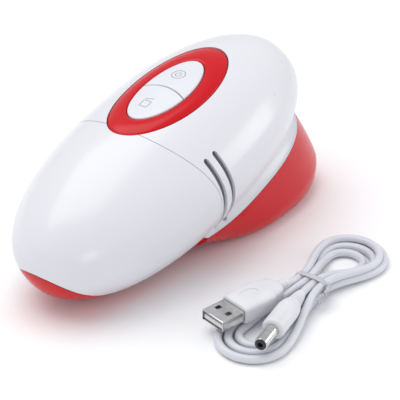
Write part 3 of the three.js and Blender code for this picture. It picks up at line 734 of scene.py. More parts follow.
def wire_tie():
    steps, squareness = 72, 0.62
    a = np.linspace(0, 2 * math.pi, steps, endpoint=False)
    y = TIE_HALF_WIDTH * np.sign(np.cos(a)) * np.abs(np.cos(a)) ** squareness
    z = TIE_HALF_HEIGHT * np.sign(np.sin(a)) * np.abs(np.sin(a)) ** squareness
    rows = []
    for i in range(len(a)):
        after = (i + 1) % steps
        ahead = np.array([y[after] - y[i - 1], z[after] - z[i - 1]])
        ahead /= np.linalg.norm(ahead)
        out = np.array([ahead[1], -ahead[0]])
        rows.append([(TIE[0] + s, TIE[1] + y[i] + t * out[0], TIE_MIDDLE + z[i] + t * out[1])
                     for s, t in RIBBON])
    faces = grid_faces(steps, len(RIBBON), wrap_rows=True)
    loop = tidy_faces(piece_from("wire_tie", np.concatenate(rows), faces))
    settle(dress(soften(loop, 50), TIE_GREY), Matrix.Scale(MM, 4), "housing", "cord_fittings", "cable_tie")
    return loop


def tie_twist():
    """The two ends of the ribbon, wound round each other and bent down beside the bundle."""
    f = np.linspace(0, 1, 70)[:, None]
    steps = ((0.2, -7.9, 6.6), (-2.6, -9.6, 7.2), (-6.0, -9.8, 6.2), (-9.0, -9.0, 4.2))
    knots = [TIE + step for step in steps]
    middle = sum(w * k for w, k in zip(((1 - f) ** 3, 3 * f * (1 - f) ** 2, 3 * f**2 * (1 - f), f**3), knots))
    _, side, up = frames_along(middle)
    turns, apart = 2.6, 0.55
    wind = 2 * math.pi * turns * f
    away = apart * np.minimum(1, 6 * (1.02 - f))
    strands = []
    for k, phase in enumerate((0, math.pi)):
        path = middle + away * (side * np.cos(wind + phase) + up * np.sin(wind + phase))
        name = f"tie_twist_{k + 1}"
        strand = swept(name, path, RIBBON * (0.62, 0.9), wind[:, 0] + phase)
        settle(dress(soften(strand, 50), TIE_GREY), Matrix.Scale(MM, 4), "housing", "cord_fittings")
        strands.append(strand)
    return strands


tie_pieces = [wire_tie(), *tie_twist()]

# %% [markdown]
# ## The egg's surface
# Every shell is a part of three closed forms: the egg, the boat-shaped hull under it, and the lip
# that flares from the egg to the hull. Each form is written as a field that is zero on the
# surface, negative inside and positive outside. The field places the points of a fine grid, and
# its slope gives the exact direction that the surface faces, so that reflections run smoothly
# over it even where a cut has left narrow faces.

# %% Sizes of the three forms
EGG_LENGTH, EGG_WIDTH, EGG_UP, EGG_DOWN = 81.9, 38.8, 30.0, 34.5
EGG_PLAN, EGG_SIDE, EGG_SECTION = 2.21, 2.25, 1.85
EGG_SOFT = 0.12
EGG_PITCH, EGG_HEIGHT = math.radians(12.5), 37.85
FORWARD = -4.5
HULL = {"rim": 16.5, "slope": 0.29, "front": -29, "rear": 89.5, "half_width": 37, "power": 2.5,
        "widest": 0.34, "inset_rear": 14, "inset_side": 1.8, "floor_inset": 6, "bow": 33, "bow_power": 1.2}
LIP = {"height": 10, "inset": 5, "below": 4}
WALL, GAP, FLOOR = 2.2, 0.3, 2.2
UNDERSIDE = -25.5
TO_FLOOR = Matrix.Translation((0, 0, EGG_HEIGHT)) @ Matrix.Rotation(-EGG_PITCH, 4, "Y")
EGG_PLACE = Matrix.Scale(MM, 4) @ Matrix.Translation((FORWARD, 0, 0)) @ TO_FLOOR
FLOOR_PLACE = Matrix.Scale(MM, 4) @ Matrix.Translation((FORWARD, 0, 0))


# %% The egg as a field and as points
def soft_power(x):
    """|x| to the section's power, rounded off near zero so that the egg has no faint ridge."""
    n, d = EGG_SECTION, EGG_SOFT
    return ((x * x + d * d) ** (n / 2) - d**n) / ((1 + d * d) ** (n / 2) - d**n)


def soft_root(g):
    n, d = EGG_SECTION, EGG_SOFT
    inner = np.maximum(g, 0) * ((1 + d * d) ** (n / 2) - d**n) + d**n
    return np.sqrt(np.maximum(inner ** (2 / n) - d * d, 0))


def egg_profile(u, grow=0.0):
    """Half width, height above and depth below the egg's axis at each u."""
    t = np.minimum(1, np.abs(u) / (EGG_LENGTH + grow))
    plan = (1 - t**EGG_PLAN) ** (1 / EGG_PLAN)
    side = (1 - t**EGG_SIDE) ** (1 / EGG_SIDE)
    return (EGG_WIDTH + grow) * plan, (EGG_UP + grow) * side, (EGG_DOWN + grow) * side


def egg_field(p, grow=0.0):
    half, up, down = egg_profile(p[:, 0], grow)
    depth = np.where(p[:, 2] > 0, up, down)
    return soft_power(p[:, 1] / np.maximum(half, 1e-6)) + soft_power(p[:, 2] / np.maximum(depth, 1e-6)) - 1


def egg_top(u, v, grow=0.0):
    """Height of the egg's back over (u, v)."""
    half, up, _ = egg_profile(u, grow)
    return up * soft_root(1 - soft_power(v / half))


def egg_solid(name, grow=0.0, around=208, along=150):
    phi = np.linspace(0, 2 * math.pi, around, endpoint=False)
    low, high = np.zeros(around), np.full(around, 1.5)
    for _ in range(40):
        mid = (low + high) / 2
        over = soft_power(mid * np.sin(phi)) + soft_power(mid * np.cos(phi)) > 1
        low, high = np.where(over, low, mid), np.where(over, mid, high)
    across, upright = low * np.sin(phi), low * np.cos(phi)
    rows = []
    for u in -(EGG_LENGTH + grow) * np.cos(np.linspace(0, math.pi, along + 1)[1:-1]):
        half, up, down = (float(x) for x in egg_profile(np.array([u]), grow))
        rows.append(np.c_[np.full(around, u), half * across, np.where(upright > 0, up, down) * upright])
    count = len(rows)
    tips = [(-(EGG_LENGTH + grow), 0, 0), (EGG_LENGTH + grow, 0, 0)]
    faces = grid_faces(count, around)
    faces += [(count * around, (j + 1) % around, j) for j in range(around)]
    last = (count - 1) * around
    faces += [(count * around + 1, last + j, last + (j + 1) % around) for j in range(around)]
    return tidy_faces(piece_from(name, np.concatenate([*rows, tips]), faces))


# %% The hull and the lip as fields and as points
def rim_height(x):
    return HULL["rim"] + HULL["slope"] * x


def hull_outline(s, grow):
    s = np.clip(s, 0, 1)
    under = np.maximum(0, (HULL["widest"] - s) / HULL["widest"])
    above = np.maximum(0, (s - HULL["widest"]) / (1 - HULL["widest"])) ** 1.1
    tuck = HULL["floor_inset"] * (1 - np.sqrt(np.maximum(0, 1 - under**2)))
    front = HULL["front"] + HULL["bow"] * (1 - s) ** HULL["bow_power"] - grow
    rear = HULL["rear"] - tuck - HULL["inset_rear"] * above + grow
    return front, rear, HULL["half_width"] - tuck - HULL["inset_side"] * above + grow


def lip_outline(s, grow, below=LIP["below"]):
    """The lip keeps the casing's outline up to the rim, and draws in above it."""
    rim = below / (LIP["height"] + below)
    inset = LIP["inset"] * np.clip((s - rim) / (1 - rim), 0, 1) ** 0.6
    front = np.full_like(np.asarray(s, float), HULL["front"])
    rear = HULL["rear"] - HULL["inset_rear"] - inset + grow
    return front, rear, HULL["half_width"] - HULL["inset_side"] - inset + grow


def on_floor(p):
    turn_to = np.array(TO_FLOOR)
    return p @ turn_to[:3, :3].T + turn_to[:3, 3]


def ring_field(p, outline, base, height):
    """Field of a form made of superellipse rings whose height leans with the rim."""
    q = on_floor(p)
    s = (q[:, 2] - base(q[:, 0])) / height(q[:, 0])
    front, rear, half = outline(s, 0.0)
    x = (q[:, 0] - (front + rear) / 2) / ((rear - front) / 2)
    return np.abs(x) ** HULL["power"] + np.abs(q[:, 1] / half) ** HULL["power"] - 1


def hull_field(p):
    return ring_field(p, hull_outline, lambda x: 0 * x, rim_height)


def lip_field(p):
    below = LIP["below"]
    return ring_field(p, lip_outline, lambda x: rim_height(x) - below,
                      lambda x: LIP["height"] + below + 0 * x)


def ringed_solid(name, levels, outline, place_height, around):
    """A closed solid of superellipse rings, in the egg's frame."""
    a = np.linspace(0, 2 * math.pi, around, endpoint=False)
    k = 2 / HULL["power"]
    cx, cy = (np.sign(f) * np.abs(f) ** k for f in (np.cos(a), np.sin(a)))
    rings = []
    for s in levels:
        front, rear, half = (float(x) for x in outline(np.array([s]), 0.0))
        x = (front + rear) / 2 + (rear - front) / 2 * cx
        rings.append(np.c_[x, half * cy, place_height(s, x)])
    piece = stacked_rings(name, rings)
    piece.data.transform(TO_FLOOR.inverted())
    return piece


def hull_solid(name, grow=0.0, floor=0.0, over=0.0, around=240, levels=56):
    steps = (1 - np.cos(np.linspace(0, math.pi, levels))) / 2
    return ringed_solid(name, steps, lambda s, _: hull_outline(s, grow),
                        lambda s, x: floor + s * (rim_height(x) + over - floor), around)


def lip_solid(name, grow=0.0, below=LIP["below"], around=240, levels=40):
    rim = below / (LIP["height"] + below)
    steps = [0.0, *(rim + (1 - rim) * np.linspace(0, 1, levels) ** 1.6)]
    return ringed_solid(name, steps, lambda s, _: lip_outline(s, grow, below),
                        lambda s, x: rim_height(x) - below + s * (LIP["height"] + below), around)


# %% Facing directions from the fields
def slope_of(field, points, step=0.02):
    columns = []
    for k in range(3):
        move = np.zeros(3)
        move[k] = step
        columns.append((field(points + move) - field(points - move)) / (2 * step))
    return np.stack(columns, axis=1)


def true_facings(piece, fields, reach=0.03, angle=34):
    """The facing of each face corner: the field's slope on a curved form, else the mesh's own."""
    mesh = soften(piece, angle).data
    points = np.zeros(len(mesh.vertices) * 3)
    mesh.vertices.foreach_get("co", points)
    points = points.reshape(-1, 3)
    facing = np.zeros(len(mesh.loops) * 3)
    mesh.corner_normals.foreach_get("vector", facing)
    facing = facing.reshape(-1, 3)
    flat = np.zeros(len(mesh.polygons) * 3)
    mesh.polygons.foreach_get("normal", flat)
    sizes = np.zeros(len(mesh.polygons), int)
    mesh.polygons.foreach_get("loop_total", sizes)
    flat = np.repeat(flat.reshape(-1, 3), sizes, axis=0)
    corner = np.zeros(len(mesh.loops), int)
    mesh.loops.foreach_get("vertex_index", corner)
    for field in fields:
        slope = slope_of(field, points)
        size = np.linalg.norm(slope, axis=1)
        near = np.abs(field(points)) < reach * np.maximum(size, 1e-9)
        slope /= np.maximum(size, 1e-9)[:, None]
        on_form = near[corner] & (np.sum(slope[corner] * flat, axis=1) > 0.75)
        facing[on_form] = slope[corner][on_form]
    return facing


def settle_shell(piece, fields, body, slot, *stands_for):
    """Places a shell that was made in the egg's frame, with its true facings."""
    facing = true_facings(piece, fields)
    turn_to = np.array(EGG_PLACE.to_3x3().normalized())
    settle(piece, EGG_PLACE, body, slot, *stands_for)
    piece.data.normals_split_custom_set([tuple(n) for n in facing @ turn_to.T])
    return piece


print("forms ready")

# %% [markdown]
# ## The white shells
# The egg is split across its middle by a parting line that sweeps back on the flanks. Each half
# is a hollow wall: the outer form less the same form shrunk by the wall's thickness. The rear
# half also carries the lip. Posts inside take the screws, and holes are left for the red ring,
# the vents and the charging socket.

# %% Cutting tools that the shells share
SEAM_AT, SEAM_SWEEP, SEAM_REACH = -19.5, 8.5, 38.0
RING_AT, RING_LONG, RING_WIDE = 11.6, 34.5, 17.2
POCKET_AT, POCKET_RADIUS, POCKET_WALL = -8.0, 12.5, 2.0
VENT_AT, VENT_WIDTH, VENT_LOW, VENT_HIGH = (-8.5, -2.9), 2.5, -18.5, 15.5
COVER_SCREWS = [(-53, 10), (-53, -10), (-38, 17), (-38, -17)]
BELLY_SCREWS = [(25, 19), (25, -19), (60, 18), (60, -18)]


def seam(v):
    return SEAM_AT + SEAM_SWEEP * (v / SEAM_REACH) ** 2


def behind_seam(offset, far=130):
    v = np.linspace(-60, 60, 97)
    outline = np.r_[np.c_[seam(v) + offset, v], [(far, 60), (far, -60)]]
    return prism("behind_seam", outline, -70, 60)


def before_seam(offset, far=-130):
    v = np.linspace(-60, 60, 97)
    outline = np.r_[np.c_[seam(v) + offset, v], [(far, 60), (far, -60)]]
    return prism("before_seam", outline, -70, 60)


def below_cover_line(offset):
    u = np.linspace(-90, 12, 90)
    line = -24 + 25.5 * np.exp(-(u + EGG_LENGTH) / 15.5) + offset
    outline = np.r_[np.c_[u, line], [(12, -70), (-90, -70)]]
    tool = prism("below_cover_line", outline, -60, 60)
    tool.data.transform(Matrix.Rotation(math.pi / 2, 4, "X"))
    return tidy_faces(tool)


def above_rim(offset):
    ends = np.array([-150.0, 150.0])
    outline = np.r_[np.c_[ends, rim_height(ends) + offset], [(150, 170), (-150, 170)]]
    tool = prism("above_rim", outline, -80, 80)
    tool.data.transform(Matrix.Rotation(math.pi / 2, 4, "X"))
    tidy_faces(tool).data.transform(TO_FLOOR.inverted())
    return tool


def oval(u, a, b, segments=128):
    return circle(1, 0, 0, segments) * (a, b) + (u, 0)


def ring_hole():
    return prism("ring_hole", oval(RING_AT, RING_LONG + GAP, RING_WIDE + GAP), 5, 45)


def slot_outline(u0, v0, u1, v1, r, segments=14):
    along = math.atan2(v1 - v0, u1 - u0)
    a = np.linspace(-math.pi / 2, math.pi / 2, segments)
    far = np.c_[u1 + r * np.cos(along + a), v1 + r * np.sin(along + a)]
    near = np.c_[u0 - r * np.cos(along + a), v0 - r * np.sin(along + a)]
    return np.r_[far, near]


def sideways(tool):
    """Turns a prism raised along w so that it runs along v, its outline then being (u, w)."""
    tool.data.transform(Matrix.Rotation(math.pi / 2, 4, "X"))
    return tool


def vent_tools():
    tools = []
    for u in VENT_AT:
        for side in (1, -1):
            low, high = sorted((-side * 15, -side * 50))
            outline = slot_outline(u, VENT_LOW, u, VENT_HIGH, VENT_WIDTH / 2)
            tools.append(sideways(prism("vent", outline, low, high)))
    return tools


def floor_posts(r, low, high):
    tools = []
    for x, y in BELLY_SCREWS:
        post = rod("post", r, x, y, low, high)
        post.data.transform(TO_FLOOR.inverted())
        tools.append(post)
    return tools


def cover_posts(r, low, high):
    return [rod("post", r, u, v, low, high) for u, v in COVER_SCREWS]


# %% Front shell
def front_shell():
    shell = keep_inside(egg_solid("front_shell_fine"), before_seam(-GAP / 2))
    carve(shell, egg_solid("inside", -WALL, 96, 60))
    for post in cover_posts(3.2, UNDERSIDE + FLOOR + GAP, 20):
        weld(shell, keep_inside(post, egg_solid("egg", -WALL / 2, 64, 48)))
    carve(shell, below_cover_line(GAP / 2), ring_hole(), *cover_posts(1.5, -40, -14))
    return settle_shell(dress(shell, SHELL_WHITE), [egg_field], "housing", "white_body", "front_shell")


front = front_shell()
print("front shell faces:", len(front.data.polygons))


# %% Rear shell
def rear_shell():
    shell = weld(egg_solid("rear_shell_fine"), lip_solid("lip"))
    inside = weld(egg_solid("inside", -WALL, 96, 60),
                  lip_solid("lip_inside", -WALL, LIP["below"] + 4, 96, 16))
    posts = floor_posts(3.4, FLOOR + GAP, 42)
    carve(shell, inside)
    keep_inside(shell, above_rim(0))
    weld(shell, *posts)
    keep_inside(shell, behind_seam(GAP / 2))
    socket = turned_along_x("socket_hole", [(0.01, 60), (4.2, 60), (4.2, 95), (0.01, 95)], 48)
    socket.data.transform(Matrix.Translation((0, 0, -2)))
    carve(shell, ring_hole(), socket, *vent_tools(), *floor_posts(1.5, -5, 14))
    dress(shell, SHELL_WHITE)
    return settle_shell(shell, [egg_field, lip_field], "housing", "white_body", "rear_shell")


rear = rear_shell()
print("rear shell faces:", len(rear.data.polygons))

# %% [markdown]
# ## The red casing
# The lower casing is a boat that starts at a point under the parting line and swells towards the
# tail; the opener stands on its flat floor. A smaller red cover closes the egg's front half from
# below, and a tongue of it runs back into the pocket where the cutting disc swings.


# %% Belly casing
def pocket_outline(r):
    a = np.linspace(-math.pi / 2, math.pi / 2, 40)
    return np.r_[np.c_[POCKET_AT + r * np.cos(a), r * np.sin(a)], [(-45, r), (-45, -r)]]


def belly_casing():
    casing = carve(hull_solid("belly_casing"), above_rim(-GAP))
    keep_inside(casing, behind_seam(GAP / 2))
    hollow = keep_inside(hull_solid("hollow", -WALL, WALL, 3, 96, 24), behind_seam(WALL + GAP))
    carve(hollow, prism("pocket_wall", pocket_outline(POCKET_RADIUS + POCKET_WALL), -70, UNDERSIDE - GAP))
    carve(casing, hollow, prism("pocket", pocket_outline(POCKET_RADIUS), -70, UNDERSIDE - GAP))
    carve(casing, prism("notch", pocket_outline(POCKET_RADIUS + POCKET_WALL + GAP), UNDERSIDE - GAP, 0))
    carve(casing, *floor_posts(1.5, -5, 14), *floor_posts(2.7, -5, 1.1))
    return settle_shell(dress(casing, CASING_RED), [hull_field], "housing", "red_trim", "belly_shell")


belly = belly_casing()
print("belly faces:", len(belly.data.polygons))


# %% Front cover
def front_cover():
    cover = keep_inside(egg_solid("front_cover"), before_seam(-GAP / 2))
    keep_inside(cover, below_cover_line(-GAP / 2))
    inside = egg_solid("inside", -WALL, 96, 60)
    carve(inside, prism("floor", [(-100, -60), (60, -60), (60, 60), (-100, 60)], -70, UNDERSIDE + FLOOR))
    carve(cover, inside)
    tongue = prism("tongue", pocket_outline(POCKET_RADIUS + POCKET_WALL), UNDERSIDE, UNDERSIDE + FLOOR)
    keep_inside(tongue, prism("reach", [(-24, -30), (60, -30), (60, 30), (-24, 30)], -70, 50))
    weld(cover, tongue)
    carve(cover, prism("under", [(-130, -60), (60, -60), (60, 60), (-130, 60)], -70, UNDERSIDE))
    holes = [rod("spindle_hole", 4.9, -26, 0, -30, -20, 48), rod("magnet_hole", 7.3, -46, 0, -30, -20, 64),
             prism("axle_slot", slot_outline(-9.8, 0, -6.2, 0, 2.8), -30, -20),
             rod("pivot_hole", 1.9, -8, 11, -30, -20)]
    carve(cover, *holes, *cover_posts(1.5, -30, -20), *cover_posts(2.7, -30, UNDERSIDE + 1.1))
    return settle_shell(dress(cover, CASING_RED), [egg_field], "housing", "red_trim", "lower_front_cover")


nose_cover = front_cover()
print("cover faces:", len(nose_cover.data.polygons))

# %% [markdown]
# ## The ring and the keys
# A glossy red ring, softly crowned, frames two white keys that share one oval, split by an arc.
# The ring is one profile carried round the oval, so its crown and rounded edges are exact. Each
# key is a grid between the arc and the oval, with its edges rolled down by their distance
# from the key's outline.

# %% Oval ring
KEYS_AT, KEYS_LONG, KEYS_WIDE = 10.05, 22.7, 10.65
RING_EDGE = 0.55


def oval_ring(around=240):
    a = np.linspace(0, 2 * math.pi, around, endpoint=False)
    inner = np.c_[KEYS_AT + KEYS_LONG * np.cos(a), KEYS_WIDE * np.sin(a)]
    outer = np.c_[RING_AT + RING_LONG * np.cos(a), RING_WIDE * np.sin(a)]
    roll = np.linspace(0, math.pi / 2, 6)
    edge = [(RING_EDGE * (1 - math.sin(r)), RING_EDGE * (1 - math.cos(r))) for r in roll[::-1]]
    rows = [(0.0, 0.0, -3.6)]
    rows += [(0.0, x, -0.3 - y) for x, y in edge[::-1]]
    rows += [(k, 0.0, -0.3 + 0.62 * (1 - (2 * k - 1) ** 2) ** 0.8) for k in np.linspace(0.08, 0.92, 22)]
    rows += [(1.0, -x, -0.3 - y) for x, y in edge]
    rows += [(1.0, 0.0, -3.6)]
    rings = []
    for k, shift, rise in rows:
        along = outer - inner
        size = np.linalg.norm(along, axis=1)[:, None]
        p = inner + along * k + along / size * shift
        rings.append(np.c_[p, egg_top(p[:, 0], p[:, 1]) + rise])
    faces = grid_faces(len(rings), around, wrap_rows=True)
    ring = tidy_faces(piece_from("oval_ring", np.concatenate(rings), faces))
    return settle(dress(soften(ring, 50), CASING_RED), EGG_PLACE, "housing", "red_trim", "bezel_ring")


ring = oval_ring()
print("ring faces:", len(ring.data.polygons))

# %% Keys
KEY_CLEARANCE, KEY_SPLIT_AT, KEY_SPLIT_SWEEP, KEY_SPLIT_GAP = 0.35, 10.6, 2.2, 0.25
KEY_DEPTH, KEY_EDGE = 4.8, 0.6


def key_edge_drop(distance):
    d = np.clip(distance, 0, KEY_EDGE)
    return KEY_EDGE - np.sqrt(np.maximum(0, KEY_EDGE**2 - (KEY_EDGE - d) ** 2))


def close_spacing(count):
    """Values from 0 to 1, packed closely at both ends where an edge rolls down."""
    return (1 - np.cos(np.linspace(0, math.pi, count))) / 2


def key_cap(name, side):
    a, b = KEYS_LONG - KEY_CLEARANCE, KEYS_WIDE - KEY_CLEARANCE
    arc = lambda v: KEY_SPLIT_AT - KEY_SPLIT_SWEEP * (v / 10) ** 2 + side * KEY_SPLIT_GAP
    rim = lambda v: KEYS_AT + side * a * np.sqrt(np.maximum(0, 1 - (v / b) ** 2))
    low, high = 0.0, b
    for _ in range(40):
        mid = (low + high) / 2
        low, high = (mid, high) if side * (rim(mid) - arc(mid)) > 0.02 else (low, mid)
    across = (close_spacing(72) * 2 - 1) * low
    along = close_spacing(96)
    v = np.repeat(across, len(along))
    u0, u1 = arc(v), rim(v)
    u = u0 + (u1 - u0) * np.tile(along, len(across))
    inside = 1 - np.sqrt(((u - KEYS_AT) / a) ** 2 + (v / b) ** 2)
    slope = np.sqrt(((u - KEYS_AT) / a**2) ** 2 + (v / b**2) ** 2) + 1e-9
    to_rim = inside * np.sqrt(((u - KEYS_AT) / a) ** 2 + (v / b) ** 2) / slope
    to_arc = np.abs(u - u0) / np.sqrt(1 + (2 * KEY_SPLIT_SWEEP * v / 100) ** 2)
    top = egg_top(u, v) - 0.05 - key_edge_drop(np.minimum(to_rim, to_arc))
    bottom = egg_top(u, v) - KEY_DEPTH
    n, m = len(across), len(along)
    points = np.r_[np.c_[u, v, top], np.c_[u, v, bottom]]
    faces = grid_faces(n, m, wrap_columns=False)
    faces += [tuple(n * m + k for k in f[::-1]) for f in faces]
    loop = [j for j in range(m)] + [i * m + m - 1 for i in range(1, n)]
    loop += [(n - 1) * m + j for j in range(m - 2, -1, -1)] + [i * m for i in range(n - 2, 0, -1)]
    faces += [(a, b, n * m + b, n * m + a) for a, b in zip(loop, loop[1:] + loop[:1])]
    return tidy_faces(piece_from(name, points, faces), 1e-3)


power_key = key_cap("power_key", 1)
release_key = key_cap("lid_release_key", -1)
for key, body in ((power_key, "power_button"), (release_key, "lid_release_button")):
    settle(dress(soften(key, 40), KEY_WHITE), EGG_PLACE, body, "white_keys", body)
print("key faces:", len(power_key.data.polygons), len(release_key.data.polygons))

# %% [markdown]
# ## The marks on the keys
# Each key carries a faint grey sign: a plain on/off sign in a circle, and a plain can with its lid
# raised. A texture would blur at this size, so each line is a thin strip that follows the key.

# %% Key marks
MARK_RISE, MARK_DEPTH, MARK_WIDTH = -0.02, 0.4, 0.34


def mark(name, path, body, closed=False):
    p = np.asarray(path, float)
    ahead = np.roll(p, -1, 0) - np.roll(p, 1, 0) if closed else np.gradient(p, axis=0)
    ahead /= np.linalg.norm(ahead, axis=1)[:, None]
    side = np.c_[-ahead[:, 1], ahead[:, 0]] * MARK_WIDTH / 2
    rows = []
    for way, rise in ((1, -MARK_DEPTH), (1, MARK_RISE), (-1, MARK_RISE), (-1, -MARK_DEPTH)):
        q = p + way * side
        rows.append(np.c_[q, egg_top(q[:, 0], q[:, 1]) + rise])
    n = len(p)
    faces = grid_faces(4, n, wrap_rows=True, wrap_columns=closed)
    if not closed:
        faces += [(0, n, 2 * n, 3 * n), (4 * n - 1, 3 * n - 1, 2 * n - 1, n - 1)]
    strip = tidy_faces(piece_from(name, np.concatenate(rows), faces))
    return settle(dress(soften(strip), MARK_GREY), EGG_PLACE, body, "dark_plastic")


def straight(start, end, count=6):
    return np.linspace(start, end, count)


def arc_of(u, v, r, first, last, count=48):
    a = np.radians(np.linspace(first, last, count))
    return np.c_[u + r * np.cos(a), v + r * np.sin(a)]


POWER_MARK, CAN_MARK = np.array((20.0, 0.8)), np.array((-2.0, 0.8))
CAN_BODY = CAN_MARK + [(-2.6, -1.8), (-2.75, 0), (-2.6, 1.8), (0, 1.9), (1.1, 1.8), (1.25, 0), (1.1, -1.8),
                       (0, -1.9)]
marks = [
    mark("power_mark_circle", arc_of(*POWER_MARK, 2.9, 0, 352.5), "power_button", closed=True),
    mark("power_mark_arc", arc_of(*POWER_MARK, 1.35, 42, 318, 32), "power_button"),
    mark("power_mark_bar", straight(POWER_MARK + (0.2, 0), POWER_MARK + (1.9, 0)), "power_button"),
    mark("can_mark_body", CAN_BODY, "lid_release_button", closed=True),
    mark("can_mark_lid", straight(CAN_MARK + (2.0, 2.1), CAN_MARK + (3.2, -1.6)), "lid_release_button"),
]
print("marks:", [m.name for m in marks])

# %% [markdown]
# ## The vents
# Two slots on each flank let the motor's air out. Behind them is a screen whose grey is painted
# shade; it stands forward into each slot, so that the slots read as dark lines and nothing inside shows.


# %% Vent screens
SCREEN_FRONT, SCREEN_BACK, FIN_FRONT, FIN_GAP = -2.5, -3.5, -1.3, 0.08


def vent_screen(name, side):
    span = sorted((-side * 20, -side * 40))
    screen = egg_solid(name + "_fine", SCREEN_FRONT, 120, 80)
    carve(screen, egg_solid("inside", SCREEN_BACK, 120, 80))
    plate = [(-12, -20), (1, -20), (1, 17), (-12, 17)]
    keep_inside(screen, sideways(prism("span", plate, *span)))
    keep_inside(screen, behind_seam(1.0))
    for u in VENT_AT:
        outline = slot_outline(u, VENT_LOW, u, VENT_HIGH, VENT_WIDTH / 2 - FIN_GAP)
        fin = sideways(prism("fin", outline, *span))
        keep_inside(fin, egg_solid("front_of_fin", FIN_FRONT, 120, 80))
        carve(fin, egg_solid("back_of_fin", -3.0, 120, 80))
        weld(screen, fin)
    # The screen and its fins take a grey that is painted shade inside the slots.
    return settle(dress(soften(screen), VENT_SHADE_GREY), EGG_PLACE, "housing", "dark_plastic", name)


screens = [vent_screen("vent_screen_left", 1), vent_screen("vent_screen_right", -1)]
print("screens:", [len(s.data.polygons) for s in screens])

# %% [markdown]
# ## Screws
# Eight cross-head screws close the casing from below. They are one shape, so a Geometry Nodes tree
# puts a copy on each point of a small mesh of places. Modelled by hand they'd drift apart.


# %% Screws
HEAD_RADIUS, HEAD_HEIGHT, SHANK_RADIUS = 2.4, 0.7, 1.2
CROSS_LONG, CROSS_WIDE, CROSS_DEEP = 1.5, 0.3, 0.4


def screw_shape(length, head_up):
    head = [(ON_AXIS, 0), (HEAD_RADIUS - 0.5, 0), (HEAD_RADIUS - 0.1, 0.18), (HEAD_RADIUS, HEAD_HEIGHT)]
    shank = [(SHANK_RADIUS, HEAD_HEIGHT + 0.05), (SHANK_RADIUS, length), (ON_AXIS, length)]
    shape = turned("screw", head + shank, 40)
    for x, y in ((CROSS_LONG, CROSS_WIDE), (CROSS_WIDE, CROSS_LONG)):
        carve(shape, block("cross", (-x, -y, -1), (x, y, CROSS_DEEP)))
    shape.data.transform(Matrix.Translation((0, 0, head_up)))
    return soften(shape)


def screws(kind, places, low, length, place):
    name = kind + "s"
    shape = screw_shape(length, low)
    spots = piece_from("spots", [(x, y, 0) for x, y in places], [])
    copies = grown(name, SPOTS, {"Shape": shape, "Spots": spots, "Material": TURNED_STEEL})
    bpy.data.objects.remove(shape)
    bpy.data.objects.remove(spots)
    return settle(copies, place, "housing", "steel", *[f"{kind}_{k + 1}" for k in range(len(places))])


cover_screws = screws("cover_screw", COVER_SCREWS, UNDERSIDE + 0.1, 10.4, EGG_PLACE)
belly_screws = screws("belly_screw", BELLY_SCREWS, 0.1, 11.9, FLOOR_PLACE)
print("screws:", len(cover_screws.data.polygons), len(belly_screws.data.polygons))

# %% [markdown]
# ## The cutting works
# A knurled wheel grips the can's rim from outside while a sharp disc cuts the lid just inside it.
# Both are turned pieces; the knurl's teeth are one wedge, copied round the wheel.


# %% Turned pieces underneath
BODY_OF = {name: body for body, nodes in frame["record"]["behaviour"]["bodies"].items() for name in nodes}
SLOT_OF = {s["node"]: s["material_slot"] for s in frame["record"]["subparts"]}
CUTTER_AT, PIVOT_AT, MAGNET_AT, WHEEL_AT = (-6.5, 0), (-8, 11), (-46, 0), (-26, 0)
TURNED_WORKS = {
    "cutter_wheel": (CUTTER_AT, [(2.3, -30.6), (4, -30.6), (8.4, -30.6), (9.95, -29.38), (10, -29.28),
                                 (9.95, -29.2), (4, -29.2), (4, -27.6), (2.3, -27.6)]),
    "cutter_axle": (CUTTER_AT, [(0.01, -32), (3.1, -32), (3.4, -31.7), (3.4, -31), (2, -31), (2, -20.5),
                                (0.01, -20.5)]),
    "arm_pivot_pin": (PIVOT_AT, [(0.01, -25.3), (1.4, -25.3), (1.6, -25.1), (1.6, -18.6), (3.4, -18.6),
                                 (3.4, -17.8), (0.01, -17.8)]),
    "lid_magnet": (MAGNET_AT, [(0.01, -25.4), (4.8, -25.4), (5, -25.2), (5, -20.6), (0.01, -20.6)]),
    "magnet_holder": (MAGNET_AT, [(5.3, -25.3), (6.8, -25.3), (7, -25.1), (7, -23), (8.6, -23), (8.6, -20.6),
                                  (5.3, -20.6)]),
    "spindle_bush": (WHEEL_AT, [(2.8, -26.1), (4.4, -26.1), (4.6, -25.9), (4.6, -23), (6.5, -23),
                                (6.5, -21.8), (2.8, -21.8)]),
}


def turned_work(name, at, profile):
    piece = turned(name + "_fine", profile, 96)
    piece.data.transform(Matrix.Translation((*at, 0)))
    finish = DARK_MOULDING if SLOT_OF[name] == "dark_plastic" else TURNED_STEEL
    return settle(dress(soften(piece), finish), EGG_PLACE, BODY_OF[name], SLOT_OF[name], name)


works = [turned_work(name, *rest) for name, rest in TURNED_WORKS.items()]
print("turned pieces:", [w.name for w in works])


# %% Knurled wheel
KNURL_TEETH, KNURL_ROOT = 22, 4.85


def drive_wheel():
    wheel = turned("drive_wheel_fine", [(2.8, -31), (4.7, -31), (KNURL_ROOT, -30.8), (KNURL_ROOT, -27.2),
                                        (4.7, -27), (2.8, -27)], 88)
    tooth = prism("tooth", [(-0.35, -0.62), (0.62, -0.12), (0.62, 0.12), (-0.35, 0.62)], -30.85, -27.15)
    teeth = grown("teeth", RING, {"Shape": tooth, "Count": KNURL_TEETH, "Radius": KNURL_ROOT + 0.02,
                                  "Material": TURNED_STEEL})
    bpy.data.objects.remove(tooth)
    dress(wheel, TURNED_STEEL)
    weld(wheel, teeth)
    wheel.data.transform(Matrix.Translation((*WHEEL_AT, 0)))
    dress(soften(wheel), TURNED_STEEL)
    return settle(wheel, EGG_PLACE, "drive", SLOT_OF["drive_wheel"], "drive_wheel")


knurl = drive_wheel()
print("knurled wheel faces:", len(knurl.data.polygons))


